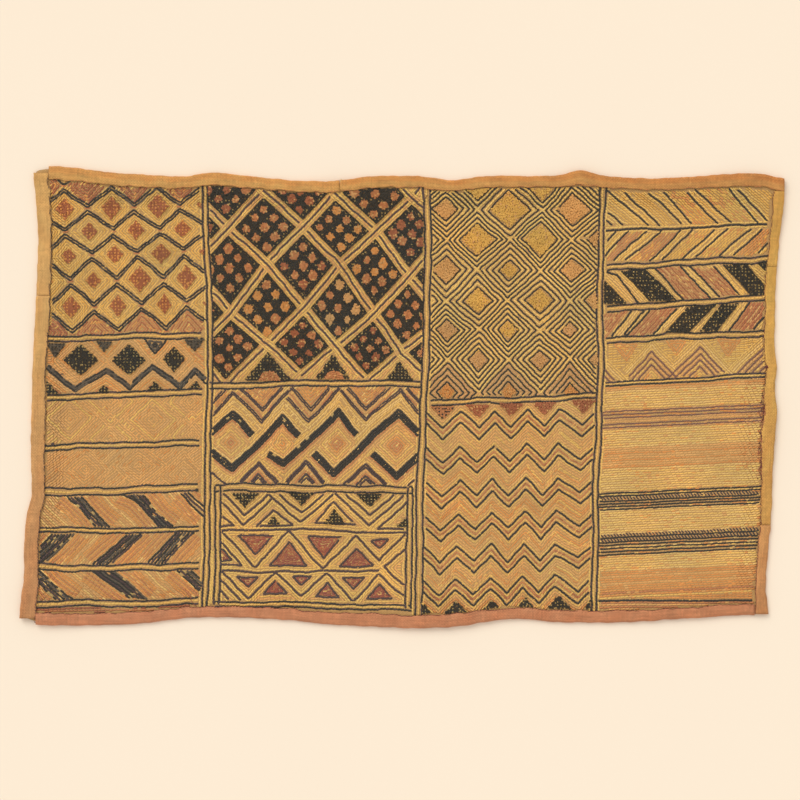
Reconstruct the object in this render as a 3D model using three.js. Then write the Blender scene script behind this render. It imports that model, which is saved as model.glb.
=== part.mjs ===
// A kuba raffia cloth laid out flat: one embroidered raffia panel whose four raw edges are bound
// with plain raffia strips, each folded over the edge and pieced from shorter lengths.
// Millimetres, +Z up. The cloth's long way is X, and it lies on the plane Z = 0.

import * as THREE from 'three';

const { lerp, clamp, smoothstep, degToRad } = THREE.MathUtils;

// Thicknesses and clearances
const PANEL_THICKNESS = 1.5;
const STRIP_THICKNESS = 1.0;
const GAP = 0.3;
const FOLD_ROOM = 0.5;
const FOLD_ROUNDING = 1.1;
const BACK_LEG_SHARE = 0.9;

// Spacing of the stations that the panel and the strips share
const STATION_SPACING = 20;
const MARGIN_STATIONS = [12, 20, 29];

// The panel rises from the surface into the binding over this width beside the seam.
const RISE_START = 1;
const RISE_WIDTH = 15;

// The outline and the width of each strip's face. "at" is the place along the edge, "edge" is
// where the outline runs there, and "band" is the strip's width. The rows run upwards on the left
// and right edges and to the right on the top and bottom edges.
const LEFT = [
  { at: -204, edge: -343.8, band: 14.0 },
  { at: -179, edge: -341.6, band: 14.2 },
  { at: -161, edge: -339.4, band: 12.6 },
  { at: -134, edge: -339.2, band: 12.7 },
  { at: -107, edge: -337.2, band: 12.2 },
  { at: -89, edge: -333.0, band: 11.3 },
  { at: -39, edge: -333.2, band: 12.2 },
  { at: 37, edge: -331.0, band: 11.8 },
  { at: 87, edge: -328.6, band: 12.4 },
  { at: 141, edge: -326.8, band: 11.4 },
  { at: 172, edge: -328.4, band: 12.6 },
  { at: 207, edge: -331.6, band: 12.9 },
];
const RIGHT = [
  { at: -197, edge: 329.2, band: 12.0 },
  { at: -168, edge: 326.6, band: 9.2 },
  { at: -134, edge: 329.2, band: 9.0 },
  { at: -98, edge: 332.0, band: 9.2 },
  { at: -62, edge: 332.8, band: 10.4 },
  { at: -39, edge: 334.6, band: 12.0 },
  { at: -12, edge: 336.4, band: 11.4 },
  { at: 6, edge: 334.6, band: 9.4 },
  { at: 28, edge: 336.4, band: 9.2 },
  { at: 46, edge: 334.6, band: 9.0 },
  { at: 100, edge: 335.6, band: 9.0 },
  { at: 145, edge: 339.2, band: 8.2 },
  { at: 172, edge: 342.6, band: 9.6 },
  { at: 197, edge: 343.8, band: 9.8 },
];
const TOP = [
  { at: -334, edge: 197.0, band: 11.0 },
  { at: -327, edge: 206.0, band: 11.0 },
  { at: -299, edge: 206.1, band: 11.4 },
  { at: -263, edge: 201.6, band: 11.2 },
  { at: -193, edge: 198.0, band: 10.2 },
  { at: -172, edge: 201.4, band: 11.0 },
  { at: -110, edge: 195.3, band: 9.6 },
  { at: -64, edge: 193.5, band: 9.4 },
  { at: -28, edge: 198.0, band: 10.0 },
  { at: 16, edge: 197.9, band: 9.8 },
  { at: 47, edge: 194.6, band: 9.2 },
  { at: 72, edge: 198.0, band: 9.8 },
  { at: 140, edge: 198.8, band: 9.8 },
  { at: 160, edge: 203.2, band: 13.2 },
  { at: 180, edge: 198.6, band: 10.2 },
  { at: 232, edge: 196.2, band: 9.8 },
  { at: 313, edge: 200.6, band: 11.2 },
  { at: 344, edge: 196.0, band: 11.6 },
];
const BOTTOM = [
  { at: -344, edge: -198.6, band: 10.6 },
  { at: -325, edge: -204.4, band: 10.6 },
  { at: -236, edge: -203.4, band: 10.2 },
  { at: -190, edge: -198.0, band: 9.4 },
  { at: -119, edge: -199.0, band: 9.6 },
  { at: -56, edge: -204.6, band: 10.8 },
  { at: 36, edge: -206.9, band: 11.4 },
  { at: 97, edge: -199.2, band: 9.6 },
  { at: 142, edge: -202.0, band: 10.4 },
  { at: 196, edge: -202.2, band: 10.2 },
  { at: 250, edge: -199.0, band: 9.4 },
  { at: 296, edge: -196.2, band: 9.6 },
  { at: 330, edge: -195.2, band: 9.4 },
];

// Places along the edges where two lengths of strip meet
const LEFT_JOIN = 91;
const TOP_JOIN = -56;
const RIGHT_JOINS = [-115, 117];

// Soft low swells where the cloth stands off the surface. Each is an oval with its long way
// turned from X, falling smoothly to nothing at its rim.
const SWELLS = [
  { x: -64, y: 152, long: 92, wide: 34, turn: 84, height: 2.4 },
  { x: 160, y: 190, long: 46, wide: 30, turn: 2, height: 1.8 },
  { x: 322, y: -30, long: 62, wide: 22, turn: 92, height: 1.7 },
  { x: -322, y: -186, long: 66, wide: 40, turn: 30, height: 1.9 },
  { x: 34, y: -186, long: 96, wide: 38, turn: 4, height: 2.2 },
  { x: 318, y: 176, long: 58, wide: 36, turn: 150, height: 1.8 },
  { x: -134, y: -74, long: 92, wide: 40, turn: 62, height: 1.6 },
  { x: 136, y: 62, long: 98, wide: 42, turn: 104, height: 1.5 },
  { x: -304, y: 62, long: 84, wide: 34, turn: 88, height: 1.8 },
  { x: 238, y: -176, long: 72, wide: 30, turn: 172, height: 1.5 },
];

// Smooth curve through a table's rows: a cubic between neighbouring rows, whose slope at a row is
// the slope from the row before it to the row after it.
function curveThrough(rows, column) {
  const slopeAt = (i) => {
    const before = rows[Math.max(i - 1, 0)];
    const after = rows[Math.min(i + 1, rows.length - 1)];
    return (after[column] - before[column]) / (after.at - before.at);
  };
  return (at) => {
    let i = 0;
    while (i < rows.length - 2 && at > rows[i + 1].at) {
      i += 1;
    }
    const span = rows[i + 1].at - rows[i].at;
    const t = clamp((at - rows[i].at) / span, 0, 1);
    const value = rows[i][column] * (1 + 2 * t) * (1 - t) ** 2 + rows[i + 1][column] * (3 - 2 * t) * t ** 2;
    return value + span * (slopeAt(i) * t * (1 - t) ** 2 - slopeAt(i + 1) * (1 - t) * t ** 2);
  };
}

const left = curveThrough(LEFT, 'edge');
const right = curveThrough(RIGHT, 'edge');
const top = curveThrough(TOP, 'edge');
const bottom = curveThrough(BOTTOM, 'edge');
const leftBand = curveThrough(LEFT, 'band');
const rightBand = curveThrough(RIGHT, 'band');
const topBand = curveThrough(TOP, 'band');
const bottomBand = curveThrough(BOTTOM, 'band');

const leftSeam = (y) => left(y) + leftBand(y);
const rightSeam = (y) => right(y) - rightBand(y);
const topSeam = (x) => top(x) - topBand(x);
const bottomSeam = (x) => bottom(x) + bottomBand(x);

// Height that the swells lift the cloth by. It stays the same across the width of a strip, so
// that the strip and the panel inside it rise together.
function lift(x, y) {
  const insideX = clamp(x, leftSeam(y), rightSeam(y));
  const insideY = clamp(y, bottomSeam(x), topSeam(x));
  let height = 0;
  for (const swell of SWELLS) {
    const turn = degToRad(swell.turn);
    const dx = insideX - swell.x;
    const dy = insideY - swell.y;
    const lengthwise = (dx * Math.cos(turn) + dy * Math.sin(turn)) / swell.long;
    const crosswise = (dy * Math.cos(turn) - dx * Math.sin(turn)) / swell.wide;
    height += swell.height * Math.max(0, 1 - lengthwise ** 2 - crosswise ** 2) ** 2;
  }
  return height;
}

// Height of the panel's underside: it lies on the surface, and rises beside each seam to the
// level between the two legs of the folded strip.
function panelUnderside(x, y) {
  const fromSeam = Math.min(x - leftSeam(y), rightSeam(y) - x, topSeam(x) - y, y - bottomSeam(x));
  const inBinding = 1 - smoothstep(fromSeam, RISE_START, RISE_START + RISE_WIDTH);
  return (STRIP_THICKNESS + GAP) * inBinding + lift(x, y);
}

// The point where an upright curve, x as a function of y, crosses a level one, y as a function of
// x. Going back and forth between them settles quickly, because they are nearly straight.
function crossing(upright, level) {
  const passes = 5;
  let x = 0;
  let y = level(0);
  for (let pass = 0; pass < passes; pass += 1) {
    x = upright(y);
    y = level(x);
  }
  return { x, y };
}

// A closed sheet of cloth over a grid: its two sides, joined by a rim all round. face and back
// each give the point of a grid row and column.
function sheetGeometry(rows, columns, face, back) {
  const positions = [];
  for (const side of [face, back]) {
    for (let row = 0; row < rows; row += 1) {
      for (let column = 0; column < columns; column += 1) {
        positions.push(...side(row, column));
      }
    }
  }
  const vertex = (side, row, column) => (side * rows + row) * columns + column;
  const index = [];
  const quad = (a, b, c, d) => index.push(a, b, c, a, c, d);
  for (let row = 0; row < rows - 1; row += 1) {
    for (let column = 0; column < columns - 1; column += 1) {
      const corners = [[row, column], [row, column + 1], [row + 1, column + 1], [row + 1, column]];
      quad(...corners.map(([r, c]) => vertex(0, r, c)));
      quad(...corners.reverse().map(([r, c]) => vertex(1, r, c)));
    }
  }
  for (let row = 0; row < rows - 1; row += 1) {
    quad(vertex(0, row, 0), vertex(0, row + 1, 0), vertex(1, row + 1, 0), vertex(1, row, 0));
    const last = columns - 1;
    quad(vertex(0, row + 1, last), vertex(0, row, last), vertex(1, row, last), vertex(1, row + 1, last));
  }
  for (let column = 0; column < columns - 1; column += 1) {
    quad(vertex(0, 0, column + 1), vertex(0, 0, column), vertex(1, 0, column), vertex(1, 0, column + 1));
    const last = rows - 1;
    quad(vertex(0, last, column), vertex(0, last, column + 1), vertex(1, last, column + 1), vertex(1, last, column));
  }
  const geometry = new THREE.BufferGeometry();
  geometry.setAttribute('position', new THREE.Float32BufferAttribute(positions, 3));
  geometry.setIndex(facingOut(positions, index));
  geometry.computeVertexNormals();
  return geometry;
}

// The triangles turned so that they enclose a positive volume
function facingOut(positions, index) {
  const corner = (i) => new THREE.Vector3().fromArray(positions, index[i] * 3);
  let volume = 0;
  for (let i = 0; i < index.length; i += 3) {
    volume += corner(i).cross(corner(i + 1)).dot(corner(i + 2));
  }
  return volume > 0 ? index : index.reverse();
}

// Stations across a length, as shares of it: close together in the margins, even between them
function stationShares(length) {
  const inner = MARGIN_STATIONS[MARGIN_STATIONS.length - 1];
  const steps = Math.round((length - 2 * inner) / STATION_SPACING);
  const shares = [0, ...MARGIN_STATIONS.map((distance) => distance / length)];
  for (let step = 1; step < steps; step += 1) {
    shares.push(lerp(inner, length - inner, step / steps) / length);
  }
  const mirrored = [...MARGIN_STATIONS].reverse().map((distance) => 1 - distance / length);
  return [...shares, ...mirrored, 1];
}

// Lines across the cloth that the panel and the strips share. The outermost ones are the panel's
// raw edges, which stop just short of the folds of the binding.
const inset = STRIP_THICKNESS + FOLD_ROOM;
const uprightLines = stationShares(right(0) - left(0) - 2 * inset)
  .map((share) => (y) => lerp(left(y) + inset, right(y) - inset, share));
const levelLines = stationShares(top(0) - bottom(0) - 2 * inset)
  .map((share) => (x) => lerp(bottom(x) + inset, top(x) - inset, share));

// The embroidered panel
function panelGeometry() {
  const side = (rise) => (row, column) => {
    const { x, y } = crossing(uprightLines[column], levelLines[row]);
    return [x, y, panelUnderside(x, y) + rise];
  };
  return sheetGeometry(levelLines.length, uprightLines.length, side(PANEL_THICKNESS), side(0));
}

// Section of a folded strip, from the face's seam round the fold to the end of the back leg.
// "across" is the share of the strip's width from the fold, "out" is an extra distance in
// millimetres from the fold, and "z" is the height.
const foldedHeight = 2 * (STRIP_THICKNESS + GAP) + PANEL_THICKNESS;
const OUTER_SECTION = [
  { across: 1, out: 0, z: foldedHeight },
  { across: 0, out: FOLD_ROUNDING, z: foldedHeight },
  { across: 0, out: 0, z: foldedHeight / 2 },
  { across: 0, out: FOLD_ROUNDING, z: 0 },
  { across: BACK_LEG_SHARE, out: 0, z: 0 },
];
const INNER_SECTION = [
  { across: 1, out: 0, z: foldedHeight - STRIP_THICKNESS },
  { across: 0, out: STRIP_THICKNESS, z: foldedHeight - STRIP_THICKNESS },
  { across: 0, out: STRIP_THICKNESS, z: foldedHeight / 2 },
  { across: 0, out: STRIP_THICKNESS, z: STRIP_THICKNESS },
  { across: BACK_LEG_SHARE, out: 0, z: STRIP_THICKNESS },
];

// A length of folded strip along one edge, with a section at each of the lines in stations
function stripGeometry({ fold, band, inward, upright }, stations) {
  const side = (section) => (row, column) => {
    const { across, out, z } = section[column];
    const lengthwise = (at) => fold(at) + inward * (out + across * band(at));
    const { x, y } = upright ? crossing(lengthwise, stations[row]) : crossing(stations[row], lengthwise);
    return [x, y, z + lift(x, y)];
  };
  return sheetGeometry(stations.length, OUTER_SECTION.length, side(OUTER_SECTION), side(INNER_SECTION));
}

// The strip along one edge, cut into lengths at its joins. The lengths are named in order, and
// each has its two ends and the shared lines that lie well between them.
function stripLengths({ edge, lines, start, end, joins, names }) {
  const endRoom = 5;
  const starts = [start, ...joins.map((join) => () => join + GAP / 2)];
  const ends = [...joins.map((join) => () => join - GAP / 2), end];
  return names.map((name, i) => {
    const between = lines.filter((line) => line(0) > starts[i](0) + endRoom && line(0) < ends[i](0) - endRoom);
    return { name, geometry: stripGeometry(edge, [starts[i], ...between, ends[i]]) };
  });
}

// The left strip runs the whole height. The top strip starts beside it and runs over the top
// right corner. The right strip starts under the top one and runs out through the bottom edge,
// and the bottom strip lies between the left and the right one.
const strips = [
  ...stripLengths({
    edge: { fold: left, band: leftBand, inward: 1, upright: true },
    lines: levelLines,
    start: bottom,
    end: top,
    joins: [LEFT_JOIN],
    names: ['binding_left_lower', 'binding_left_upper'],
  }),
  ...stripLengths({
    edge: { fold: top, band: topBand, inward: -1, upright: false },
    lines: uprightLines,
    start: (y) => leftSeam(y) + GAP,
    end: right,
    joins: [TOP_JOIN],
    names: ['binding_top_left', 'binding_top_right'],
  }),
  ...stripLengths({
    edge: { fold: right, band: rightBand, inward: -1, upright: true },
    lines: levelLines,
    start: bottom,
    end: (x) => topSeam(x) - GAP,
    joins: RIGHT_JOINS,
    names: ['binding_right_lower', 'binding_right_middle', 'binding_right_upper'],
  }),
  ...stripLengths({
    edge: { fold: bottom, band: bottomBand, inward: 1, upright: false },
    lines: uprightLines,
    start: (y) => leftSeam(y) + GAP,
    end: (y) => rightSeam(y) - GAP,
    joins: [],
    names: ['binding_bottom'],
  }),
];

// Colours of the raffia
const PANEL_COLOUR = 0x94692f;
const STRIP_COLOURS = {
  binding_left_lower: 0xa66c37,
  binding_left_upper: 0xbd8a4a,
  binding_top_left: 0xb0703a,
  binding_top_right: 0xab6a35,
  binding_right_lower: 0x8c4f2c,
  binding_right_middle: 0xb98445,
  binding_right_upper: 0xc08b48,
  binding_bottom: 0x9a5a33,
};

function raffia(color) {
  return new THREE.MeshStandardMaterial({ color, roughness: 0.78, metalness: 0 });
}

function namedMesh(name, geometry, color) {
  const mesh = new THREE.Mesh(geometry, raffia(color));
  mesh.name = name;
  return mesh;
}

const cloth = new THREE.Group();
cloth.add(namedMesh('embroidered_panel', panelGeometry(), PANEL_COLOUR));
for (const { name, geometry } of strips) {
  cloth.add(namedMesh(name, geometry, STRIP_COLOURS[name]));
}

// The origin is under the middle of the cloth's box.
const box = new THREE.Box3().setFromObject(cloth);
cloth.position.set(-(box.min.x + box.max.x) / 2, -(box.min.y + box.max.y) / 2, -box.min.z);

export default cloth;
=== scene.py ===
"""A raffia cloth that lies flat: ground cloth, rows of stitching, cut pile and folded bindings.

Lengths are millimetres in the cloth's own frame, x to the right, y to the far long edge and z up
out of the sewn face. They become metres when a mesh is made.
"""

import logging
import math
from collections.abc import Callable, Sequence
from dataclasses import dataclass, field
from enum import Enum

import bpy
import numpy as np
from numpy.typing import NDArray
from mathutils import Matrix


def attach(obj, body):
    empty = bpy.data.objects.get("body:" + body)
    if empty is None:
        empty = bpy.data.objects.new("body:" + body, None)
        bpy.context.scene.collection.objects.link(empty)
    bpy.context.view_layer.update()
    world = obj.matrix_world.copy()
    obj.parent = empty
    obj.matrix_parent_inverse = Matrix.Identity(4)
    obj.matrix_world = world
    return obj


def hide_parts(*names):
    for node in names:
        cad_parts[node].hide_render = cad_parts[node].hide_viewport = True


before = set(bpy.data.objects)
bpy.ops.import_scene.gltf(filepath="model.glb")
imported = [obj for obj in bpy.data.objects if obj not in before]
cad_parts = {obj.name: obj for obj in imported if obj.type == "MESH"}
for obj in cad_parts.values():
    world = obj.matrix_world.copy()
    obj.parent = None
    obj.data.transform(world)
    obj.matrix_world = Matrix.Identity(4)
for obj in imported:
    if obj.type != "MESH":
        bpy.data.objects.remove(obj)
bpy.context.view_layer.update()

Array = NDArray[np.float64]
Flags = NDArray[np.bool_]
Whole = NDArray[np.int64]
Point = tuple[float, float]
Points = Sequence[Point] | Array
Line = Callable[[Array], Array]
Lines = tuple[tuple[Point, ...], ...]
Table = tuple[tuple[float, ...], ...]
Tone = tuple[int, int, int]
Crossing = tuple[float, float, bool]
SlantBar = tuple[float, float, float, float, bool]
Thing = bpy.types.Object
Socket = bpy.types.NodeSocket

MM = 0.001
PITCH = 2.05
STITCH_LENGTH = 3.6
STITCH_WIDTH = 1.9
LOG = logging.getLogger("cloth")


class Dye(Enum):
    """Colours of the raffia as they look under the studio's light, red, green and blue to 255."""

    BLACK = (54, 48, 38)
    INK = (78, 60, 54)
    SPECK = (172, 145, 88)
    SLATE = (90, 78, 62)
    GOLD = (209, 163, 84)
    BRIGHT = (216, 172, 90)
    STRAW = (213, 170, 98)
    OCHRE = (205, 155, 73)
    TAN = (194, 143, 86)
    PEACH = (203, 148, 84)
    OLIVE = (188, 148, 78)
    ORANGE = (198, 132, 68)
    RUST = (156, 92, 58)
    BRICK = (140, 76, 56)
    BROWN = (178, 114, 68)
    PLUM = (120, 82, 70)
    MAROON = (98, 44, 34)


DYES = list(Dye)
(BLACK, INK, SPECK, SLATE, GOLD, BRIGHT, STRAW, OCHRE, TAN, PEACH, OLIVE, ORANGE, RUST, BRICK, BROWN,
 PLUM, MAROON) = DYES
DARK = (BLACK, INK, SLATE, PLUM)


def linear(colour: Sequence[float]) -> Array:
    """Screen colour to 255 as linear light, by the standard curve of display screens."""
    share = np.asarray(colour, float) / 255
    return np.where(share <= 0.04045, share / 12.92, ((share + 0.055) / 1.055) ** 2.4)


def smooth(value: Array, low: float, high: float) -> Array:
    """Rises from 0 at low to 1 at high as three squares less two cubes of the way between."""
    way = np.clip((value - low) / (high - low), 0, 1)
    return way * way * (3 - 2 * way)


def waves(x: Array, y: Array, length: float, seed: int, count: int = 6) -> Array:
    """Smooth unevenness: the sum of sine waves that cross the cloth in seeded directions.

    Args:
        x: Places across the cloth.
        y: Places along its short side.
        length: Mean wavelength.
        seed: Picks the directions and phases.
        count: How many waves are summed.

    Returns:
        Values about 0 whose spread is about 0.7.
    """
    rng = np.random.default_rng(seed)
    total = np.zeros(np.broadcast(x, y).shape)
    for _ in range(count):
        turn, phase = rng.uniform(0, 2 * math.pi), rng.uniform(0, 6.3)
        stretch = rng.uniform(0.65, 1.5)
        across = x * math.cos(turn) + y * math.sin(turn)
        total = total + np.sin(across * 2 * math.pi / (length * stretch) + phase)
    return total / math.sqrt(count)


def value_at(line: Line, place: float) -> float:
    """A line's value at one place."""
    return float(line(np.array(place)))


@dataclass(frozen=True)
class Curve:
    """A smooth line through rows of (at, value), level past both ends."""

    rows: tuple[Point, ...]

    def __call__(self, place: Array) -> Array:
        """Value at each place: a cubic between rows, with the slope from row to next but one.

        Args:
            place: Where the line is read.

        Returns:
            One value for each place.
        """
        at, value = np.array(self.rows, float).T
        last = len(at) - 1
        after = np.minimum(np.arange(last + 1) + 1, last)
        before = np.maximum(np.arange(last + 1) - 1, 0)
        slope = (value[after] - value[before]) / (at[after] - at[before])
        row = np.clip(np.searchsorted(at, place, side="right") - 1, 0, last - 1)
        span = at[row + 1] - at[row]
        t = np.clip((place - at[row]) / span, 0, 1)
        ends = value[row] * (1 + 2 * t) * (1 - t) ** 2 + value[row + 1] * (3 - 2 * t) * t * t
        return ends + span * (slope[row] * t * (1 - t) ** 2 - slope[row + 1] * (1 - t) * t * t)


@dataclass(frozen=True)
class Edge:
    """One edge of the cloth with its binding. Columns of rows: at, edge, width of the binding."""

    inward: float
    rows: Table

    def outer(self, at: Array) -> Array:
        """Where the folded edge runs."""
        return Curve(tuple((row[0], row[1]) for row in self.rows))(at)

    def band(self, at: Array) -> Array:
        """How wide the binding is."""
        return Curve(tuple((row[0], row[2]) for row in self.rows))(at)

    def seam(self, at: Array) -> Array:
        """Where the binding ends on the sewn face."""
        return self.outer(at) + self.inward * self.band(at)


LEFT = Edge(1.0, (
    (-204, -343.8, 14), (-179, -341.6, 14.2), (-161, -339.4, 12.6), (-134, -339.2, 12.7),
    (-107, -337.2, 12.2), (-89, -333, 11.3), (-39, -333.2, 12.2), (37, -331, 11.8),
    (87, -328.6, 12.4), (141, -326.8, 11.4), (172, -328.4, 12.6), (207, -331.6, 12.9)))
RIGHT = Edge(-1.0, (
    (-197, 329.2, 12), (-168, 326.6, 9.2), (-134, 329.2, 9), (-98, 332, 9.2),
    (-62, 332.8, 10.4), (-39, 334.6, 12), (-12, 336.4, 11.4), (6, 334.6, 9.4),
    (28, 336.4, 9.2), (46, 334.6, 9), (100, 335.6, 9), (145, 339.2, 8.2),
    (172, 342.6, 9.6), (197, 343.8, 9.8)))
TOP = Edge(-1.0, (
    (-334, 197, 11), (-327, 206, 11), (-299, 206.1, 11.4), (-263, 201.6, 11.2),
    (-193, 198, 10.2), (-172, 201.4, 11), (-110, 195.3, 9.6), (-64, 193.5, 9.4),
    (-28, 198, 10), (16, 197.9, 9.8), (47, 194.6, 9.2), (72, 198, 9.8),
    (140, 198.8, 9.8), (160, 203.2, 13.2), (180, 198.6, 10.2), (232, 196.2, 9.8),
    (313, 200.6, 11.2), (344, 196, 11.6)))
BOTTOM = Edge(1.0, (
    (-344, -198.6, 10.6), (-325, -204.4, 10.6), (-236, -203.4, 10.2), (-190, -198, 9.4),
    (-119, -199, 9.6), (-56, -204.6, 10.8), (36, -206.9, 11.4), (97, -199.2, 9.6),
    (142, -202, 10.4), (196, -202.2, 10.2), (250, -199, 9.4), (296, -196.2, 9.6),
    (330, -195.2, 9.4)))


@dataclass(frozen=True)
class Lie:
    """How the cloth lies: low swells where it doesn't quite touch the table.

    Columns of swells: x, y, half length, half width, turn in degrees, height.
    """

    under_fold: float = 1.3
    slope: Point = (1, 16)
    ground: float = 0.9
    swells: Table = (
        (-64, 152, 92, 34, 84, 2.4), (160, 190, 46, 30, 2, 1.8), (322, -30, 62, 22, 92, 1.7),
        (-322, -186, 66, 40, 30, 1.9), (34, -186, 96, 38, 4, 2.2), (318, 176, 58, 36, 150, 1.8),
        (-134, -74, 92, 40, 62, 1.6), (136, 62, 98, 42, 104, 1.5), (-304, 62, 84, 34, 88, 1.8),
        (238, -176, 72, 30, 172, 1.5))

    def lift(self, x: Array, y: Array) -> Array:
        """Height of the swells: each is its height by the square of what its oval leaves of 1.

        Args:
            x: Places across the cloth.
            y: Places along its short side.

        Returns:
            The height at each place.
        """
        x = np.clip(x, LEFT.seam(y), RIGHT.seam(y))
        y = np.clip(y, BOTTOM.seam(x), TOP.seam(x))
        total = np.zeros(np.broadcast(x, y).shape)
        for at_x, at_y, long, wide, degrees, height in self.swells:
            turn = math.radians(degrees)
            lengthwise = ((x - at_x) * math.cos(turn) + (y - at_y) * math.sin(turn)) / long
            crosswise = ((y - at_y) * math.cos(turn) - (x - at_x) * math.sin(turn)) / wide
            total = total + height * np.maximum(0, 1 - lengthwise**2 - crosswise**2) ** 2
        return total

    def inside(self, x: Array, y: Array) -> Array:
        """Distance inwards from the nearest seam, negative under a binding."""
        level = np.minimum(x - LEFT.seam(y), RIGHT.seam(y) - x)
        return np.minimum(level, np.minimum(TOP.seam(x) - y, y - BOTTOM.seam(x)))

    def underside(self, x: Array, y: Array) -> Array:
        """Height of the ground cloth's back: it rises on to the folded bindings at its edges."""
        return self.under_fold * (1 - smooth(self.inside(x, y), *self.slope)) + self.lift(x, y)

    def face(self, x: Array, y: Array) -> Array:
        """Height of the ground cloth's sewn face."""
        return self.underside(x, y) + self.ground


LIE = Lie()


def linked(name: str, data: bpy.types.ID) -> Thing:
    """Puts a mesh, a lamp or a camera into the scene, at the origin.

    Args:
        name: The piece's name.
        data: Its mesh, lamp or camera.

    Returns:
        The piece.
    """
    thing = bpy.data.objects.new(name, data)
    bpy.context.scene.collection.objects.link(thing)
    return thing


def upright_mesh(name: str, points: Array, faces: Whole, smooth_faces: bool) -> Thing:
    """Makes an object of points in millimetres, turned so that its faces point out.

    Args:
        name: The piece's name.
        points: One row of x, y, z for each vertex.
        faces: One row of vertex numbers for each face, all with the same number of corners.
        smooth_faces: Whether the faces are shaded as one smooth surface.

    Returns:
        The linked object, at the origin.
    """
    first, second, third = (points[faces[:, corner]] for corner in (0, 1, 2))
    volume = np.einsum("ij,ij->", first, np.cross(second, third))
    if faces.shape[1] == 4:
        fourth = points[faces[:, 3]]
        volume += np.einsum("ij,ij->", first, np.cross(third, fourth))
    if volume < 0:
        faces = faces[:, ::-1]
    mesh = bpy.data.meshes.new(name)
    mesh.vertices.add(len(points))
    mesh.vertices.foreach_set("co", (points * MM).astype(np.float32).ravel())
    mesh.loops.add(faces.size)
    mesh.loops.foreach_set("vertex_index", faces.astype(np.int32).ravel())
    mesh.polygons.add(len(faces))
    starts = np.arange(len(faces), dtype=np.int32) * faces.shape[1]
    mesh.polygons.foreach_set("loop_start", starts)
    mesh.polygons.foreach_set("use_smooth", np.full(len(faces), smooth_faces))
    mesh.update(calc_edges=True)
    mesh.validate()
    return linked(name, mesh)


def paint(thing: Thing, colours: Array, strands: Array) -> None:
    """Stores each vertex's colour, its dye with any painted shade, and its place on its strand.

    Args:
        thing: The piece.
        colours: One row of red, green and blue for each vertex, linear.
        strands: One row for each vertex: along the strand, across it, and the strand's number.
    """
    dye = thing.data.attributes.new("dye", "FLOAT_COLOR", "POINT")
    opaque = np.concatenate([colours, np.ones((len(colours), 1))], axis=1)
    dye.data.foreach_set("color", opaque.astype(np.float32).ravel())
    strand = thing.data.attributes.new("strand", "FLOAT_VECTOR", "POINT")
    strand.data.foreach_set("vector", strands.astype(np.float32).ravel())


class Shader:
    """Builds one material's nodes, a step at a time."""

    def __init__(self, name: str) -> None:
        """Starts a named material that has its surface and its output only.

        Args:
            name: The material's name.
        """
        self.material = bpy.data.materials.new(name)
        self.material.use_nodes = True
        self.tree = self.material.node_tree
        self.tree.nodes.clear()
        self.surface = self.add("ShaderNodeBsdfPrincipled", {})
        self.add("ShaderNodeOutputMaterial", {"Surface": self.surface.outputs[0]})

    def put(self, socket: Socket, value: object) -> None:
        """Links a socket to another, or sets its value.

        Args:
            socket: The input to fill.
            value: A socket, a number or a colour.
        """
        if isinstance(value, Socket):
            self.tree.links.new(value, socket)
        else:
            socket.default_value = value

    def add(self, kind: str, inputs: dict[str | int, object], **options: str) -> bpy.types.Node:
        """Adds a node, with its options set before its inputs are filled.

        Args:
            kind: The node's type.
            inputs: Numbers, colours or sockets by the input's name or place.
            options: The node's own settings.

        Returns:
            The node.
        """
        node = self.tree.nodes.new(kind)
        for name, option in options.items():
            setattr(node, name, option)
        for name, value in inputs.items():
            self.put(node.inputs[name], value)
        return node

    def attribute(self, name: str, output: str) -> Socket:
        """Reads one of the mesh's attributes."""
        return self.add("ShaderNodeAttribute", {}, attribute_name=name).outputs[output]

    def scaled(self, vector: Socket, *scale: float) -> Socket:
        """Multiplies a vector's three numbers by their own scales."""
        return self.add("ShaderNodeVectorMath", {0: vector, 1: scale}, operation="MULTIPLY").outputs[0]

    def noise(self, vector: Socket, scale: float, detail: float) -> Socket:
        """Smooth noise from 0 to 1 over a vector."""
        inputs = {"Vector": vector, "Scale": scale, "Detail": detail}
        return self.add("ShaderNodeTexNoise", inputs).outputs[0]

    def sum(self, operation: str, *values: object) -> Socket:
        """One arithmetic step on one to three values."""
        return self.add("ShaderNodeMath", dict(enumerate(values)), operation=operation).outputs[0]

    def part(self, vector: Socket, axis: int) -> Socket:
        """One of a vector's three numbers."""
        return self.add("ShaderNodeSeparateXYZ", {0: vector}).outputs[axis]

    def tinted(self, colour: Socket, share: Socket, low: float, high: float) -> Socket:
        """Multiplies a colour by low to high as share goes from 0 to 1."""
        inputs = {0: colour, "Scale": self.sum("MULTIPLY_ADD", share, high - low, low)}
        return self.add("ShaderNodeVectorMath", inputs, operation="SCALE").outputs[0]

    def bump(self, height: Socket, distance: float, strength: float) -> None:
        """Turns a height into the surface's fine relief, distance in millimetres."""
        inputs = {"Strength": strength, "Distance": distance * MM, "Height": height}
        self.put(self.surface.inputs["Normal"], self.add("ShaderNodeBump", inputs).outputs[0])

    def dress(self, colour: Socket, roughness: float, gloss: float, sheen: float) -> None:
        """Gives the surface its colour, roughness, gloss and sheen.

        Args:
            colour: The base colour's socket.
            roughness: A number or a socket.
            gloss: The share of mirror light.
            sheen: The fibres' soft edge light.
        """
        inputs = {"Base Color": colour, "Roughness": roughness, "Specular IOR Level": gloss,
                  "Sheen Weight": sheen, "Sheen Roughness": 0.5}
        for name, value in inputs.items():
            self.put(self.surface.inputs[name], value)


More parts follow.
